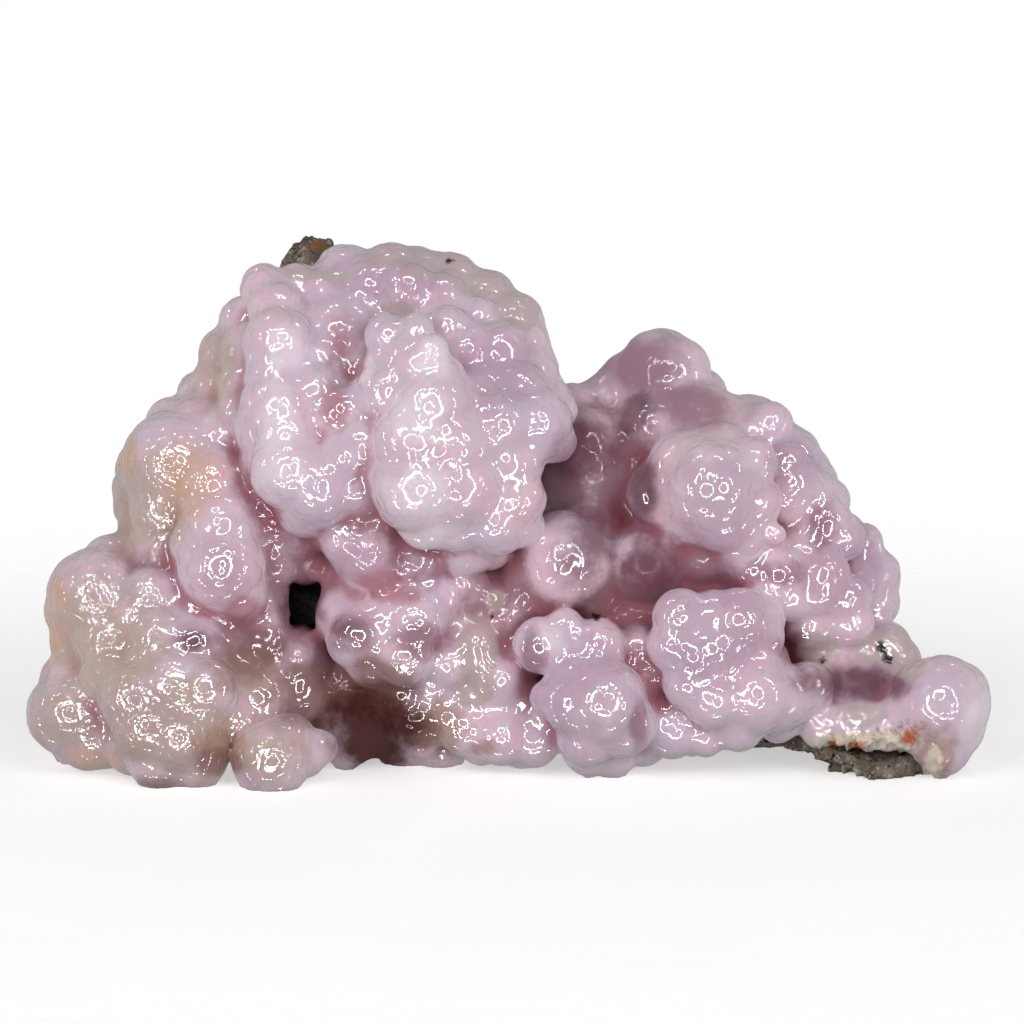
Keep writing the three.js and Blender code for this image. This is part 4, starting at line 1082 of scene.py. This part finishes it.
def place_softbox(name, around, off_axis, distance, size, radiance, use):
    """A rectangular softbox, placed round the camera's axis: around is 0 at the right and 90 at the top,
    and off_axis is the angle between the camera and the softbox as the specimen sees them. Its use is
    "glints", where only its reflection shows, or "fill", where it lights the skin and isn't mirrored."""
    turn = math.radians(around)
    tilt = math.radians(off_axis)
    up = Vector((0, math.sin(LEAN), math.cos(LEAN)))
    side = Vector((1, 0, 0)) * math.cos(turn) + up * math.sin(turn)
    direction = OUT * math.cos(tilt) + side * math.sin(tilt)
    data = bpy.data.lights.new(name, "AREA")
    data.shape = "RECTANGLE"
    data.size, data.size_y = size
    data.energy = radiance * math.pi * size[0] * size[1]
    light = bpy.data.objects.new(name, data)
    along = direction.cross(side).normalized()
    light.matrix_world = Matrix((along, direction.cross(along), direction)).transposed().to_4x4()
    light.location = AIM + direction * distance
    light.visible_diffuse = use == "fill"
    light.visible_glossy = use == "glints"
    bpy.context.scene.collection.objects.link(light)


def light_specimen():
    """The ring of strips and the two fills."""
    for number in range(STRIPS):
        name = f"strip_{number + 1}"
        around = (number + 0.5) * 360 / STRIPS
        place_softbox(
            name, around, STRIP_OFF_AXIS, STRIP_DISTANCE, STRIP_SIZE, STRIP_RADIANCE, "glints"
        )
    for name, around, radiance in FILLS:
        place_softbox(name, around, FILL_OFF_AXIS, FILL_DISTANCE, FILL_SIZE, radiance, "fill")


def light_room():
    """A white light tent: bright at the sides, dim above and below, in front of a white backdrop."""
    world = bpy.data.worlds.new("light_tent")
    world.use_nodes = True
    tree = world.node_tree
    tree.nodes.clear()
    place = add(tree, "TexCoord", {}, {}).outputs["Generated"]
    height = add(tree, "SeparateXYZ", {}, {0: place}).outputs["Z"]
    away = add(tree, "Math", {"operation": "ABSOLUTE"}, {0: height}).outputs["Value"]
    falloff = {"Value": away, "From Min": 0.05, "From Max": 0.7, "To Min": 0.9, "To Max": 0.15}
    brightness = add(tree, "MapRange", {"interpolation_type": "SMOOTHSTEP"}, falloff).outputs["Result"]
    tent = add(tree, "Background", {}, {"Color": linear("#FFFFFF"), "Strength": brightness})
    backdrop = add(tree, "Background", {}, {"Color": linear("#FFFFFF"), "Strength": 1.0})
    haze = add(tree, "Background", {}, {"Color": linear("#FFFFFF"), "Strength": 0.45})
    ray = add(tree, "LightPath", {}, {})
    lit = {0: ray.outputs["Is Glossy Ray"], 1: tent.outputs[0], 2: haze.outputs[0]}
    lit = add(tree, "MixShader", {}, lit).outputs[0]
    seen = {0: ray.outputs["Is Camera Ray"], 1: lit, 2: backdrop.outputs[0]}
    seen = add(tree, "MixShader", {}, seen)
    add(tree, "OutputWorld", {}, {"Surface": seen.outputs[0]})
    bpy.context.scene.world = world


def build_floor():
    """A wide sheet of pale paper, which shows in no reflection and throws no light back."""
    mesh = bpy.data.meshes.new("floor")
    far = FLOOR_WIDTH / 2
    corners = [(-far, -far, 0), (far, -far, 0), (far, far, 0), (-far, far, 0)]
    mesh.from_pydata(corners, [], [(0, 1, 2, 3)])
    mesh.materials.append(table_paper())
    floor = bpy.data.objects.new("floor", mesh)
    bpy.context.scene.collection.objects.link(floor)
    floor.visible_shadow = False
    floor.visible_glossy = False
    floor.visible_diffuse = False


# ---------------------------------------------------------------- assembly

place_camera()
light_room()
light_specimen()
build_floor()

depth = depth_in_crust()
rock = outside_rock()
cuts = outside_cuts()
solid = (np.maximum(depth, -rock) > 0) & (cuts < 0)
packed = averaged(solid.astype(np.float32), CLOSE_BY)

for piece, node, slot, material in (
    (build_crust(depth, rock, cuts, packed), "smithsonite_crust", "smithsonite", smithsonite()),
    (build_rock(depth, rock, cuts, packed), "matrix_rock", "matrix", host_rock()),
):
    piece.data.materials.append(material)
    piece.data.polygons.foreach_set("use_smooth", [True] * len(piece.data.polygons))
    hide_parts(node)
    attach(piece, "root")

bpy.context.scene.view_settings.view_transform = "Standard"
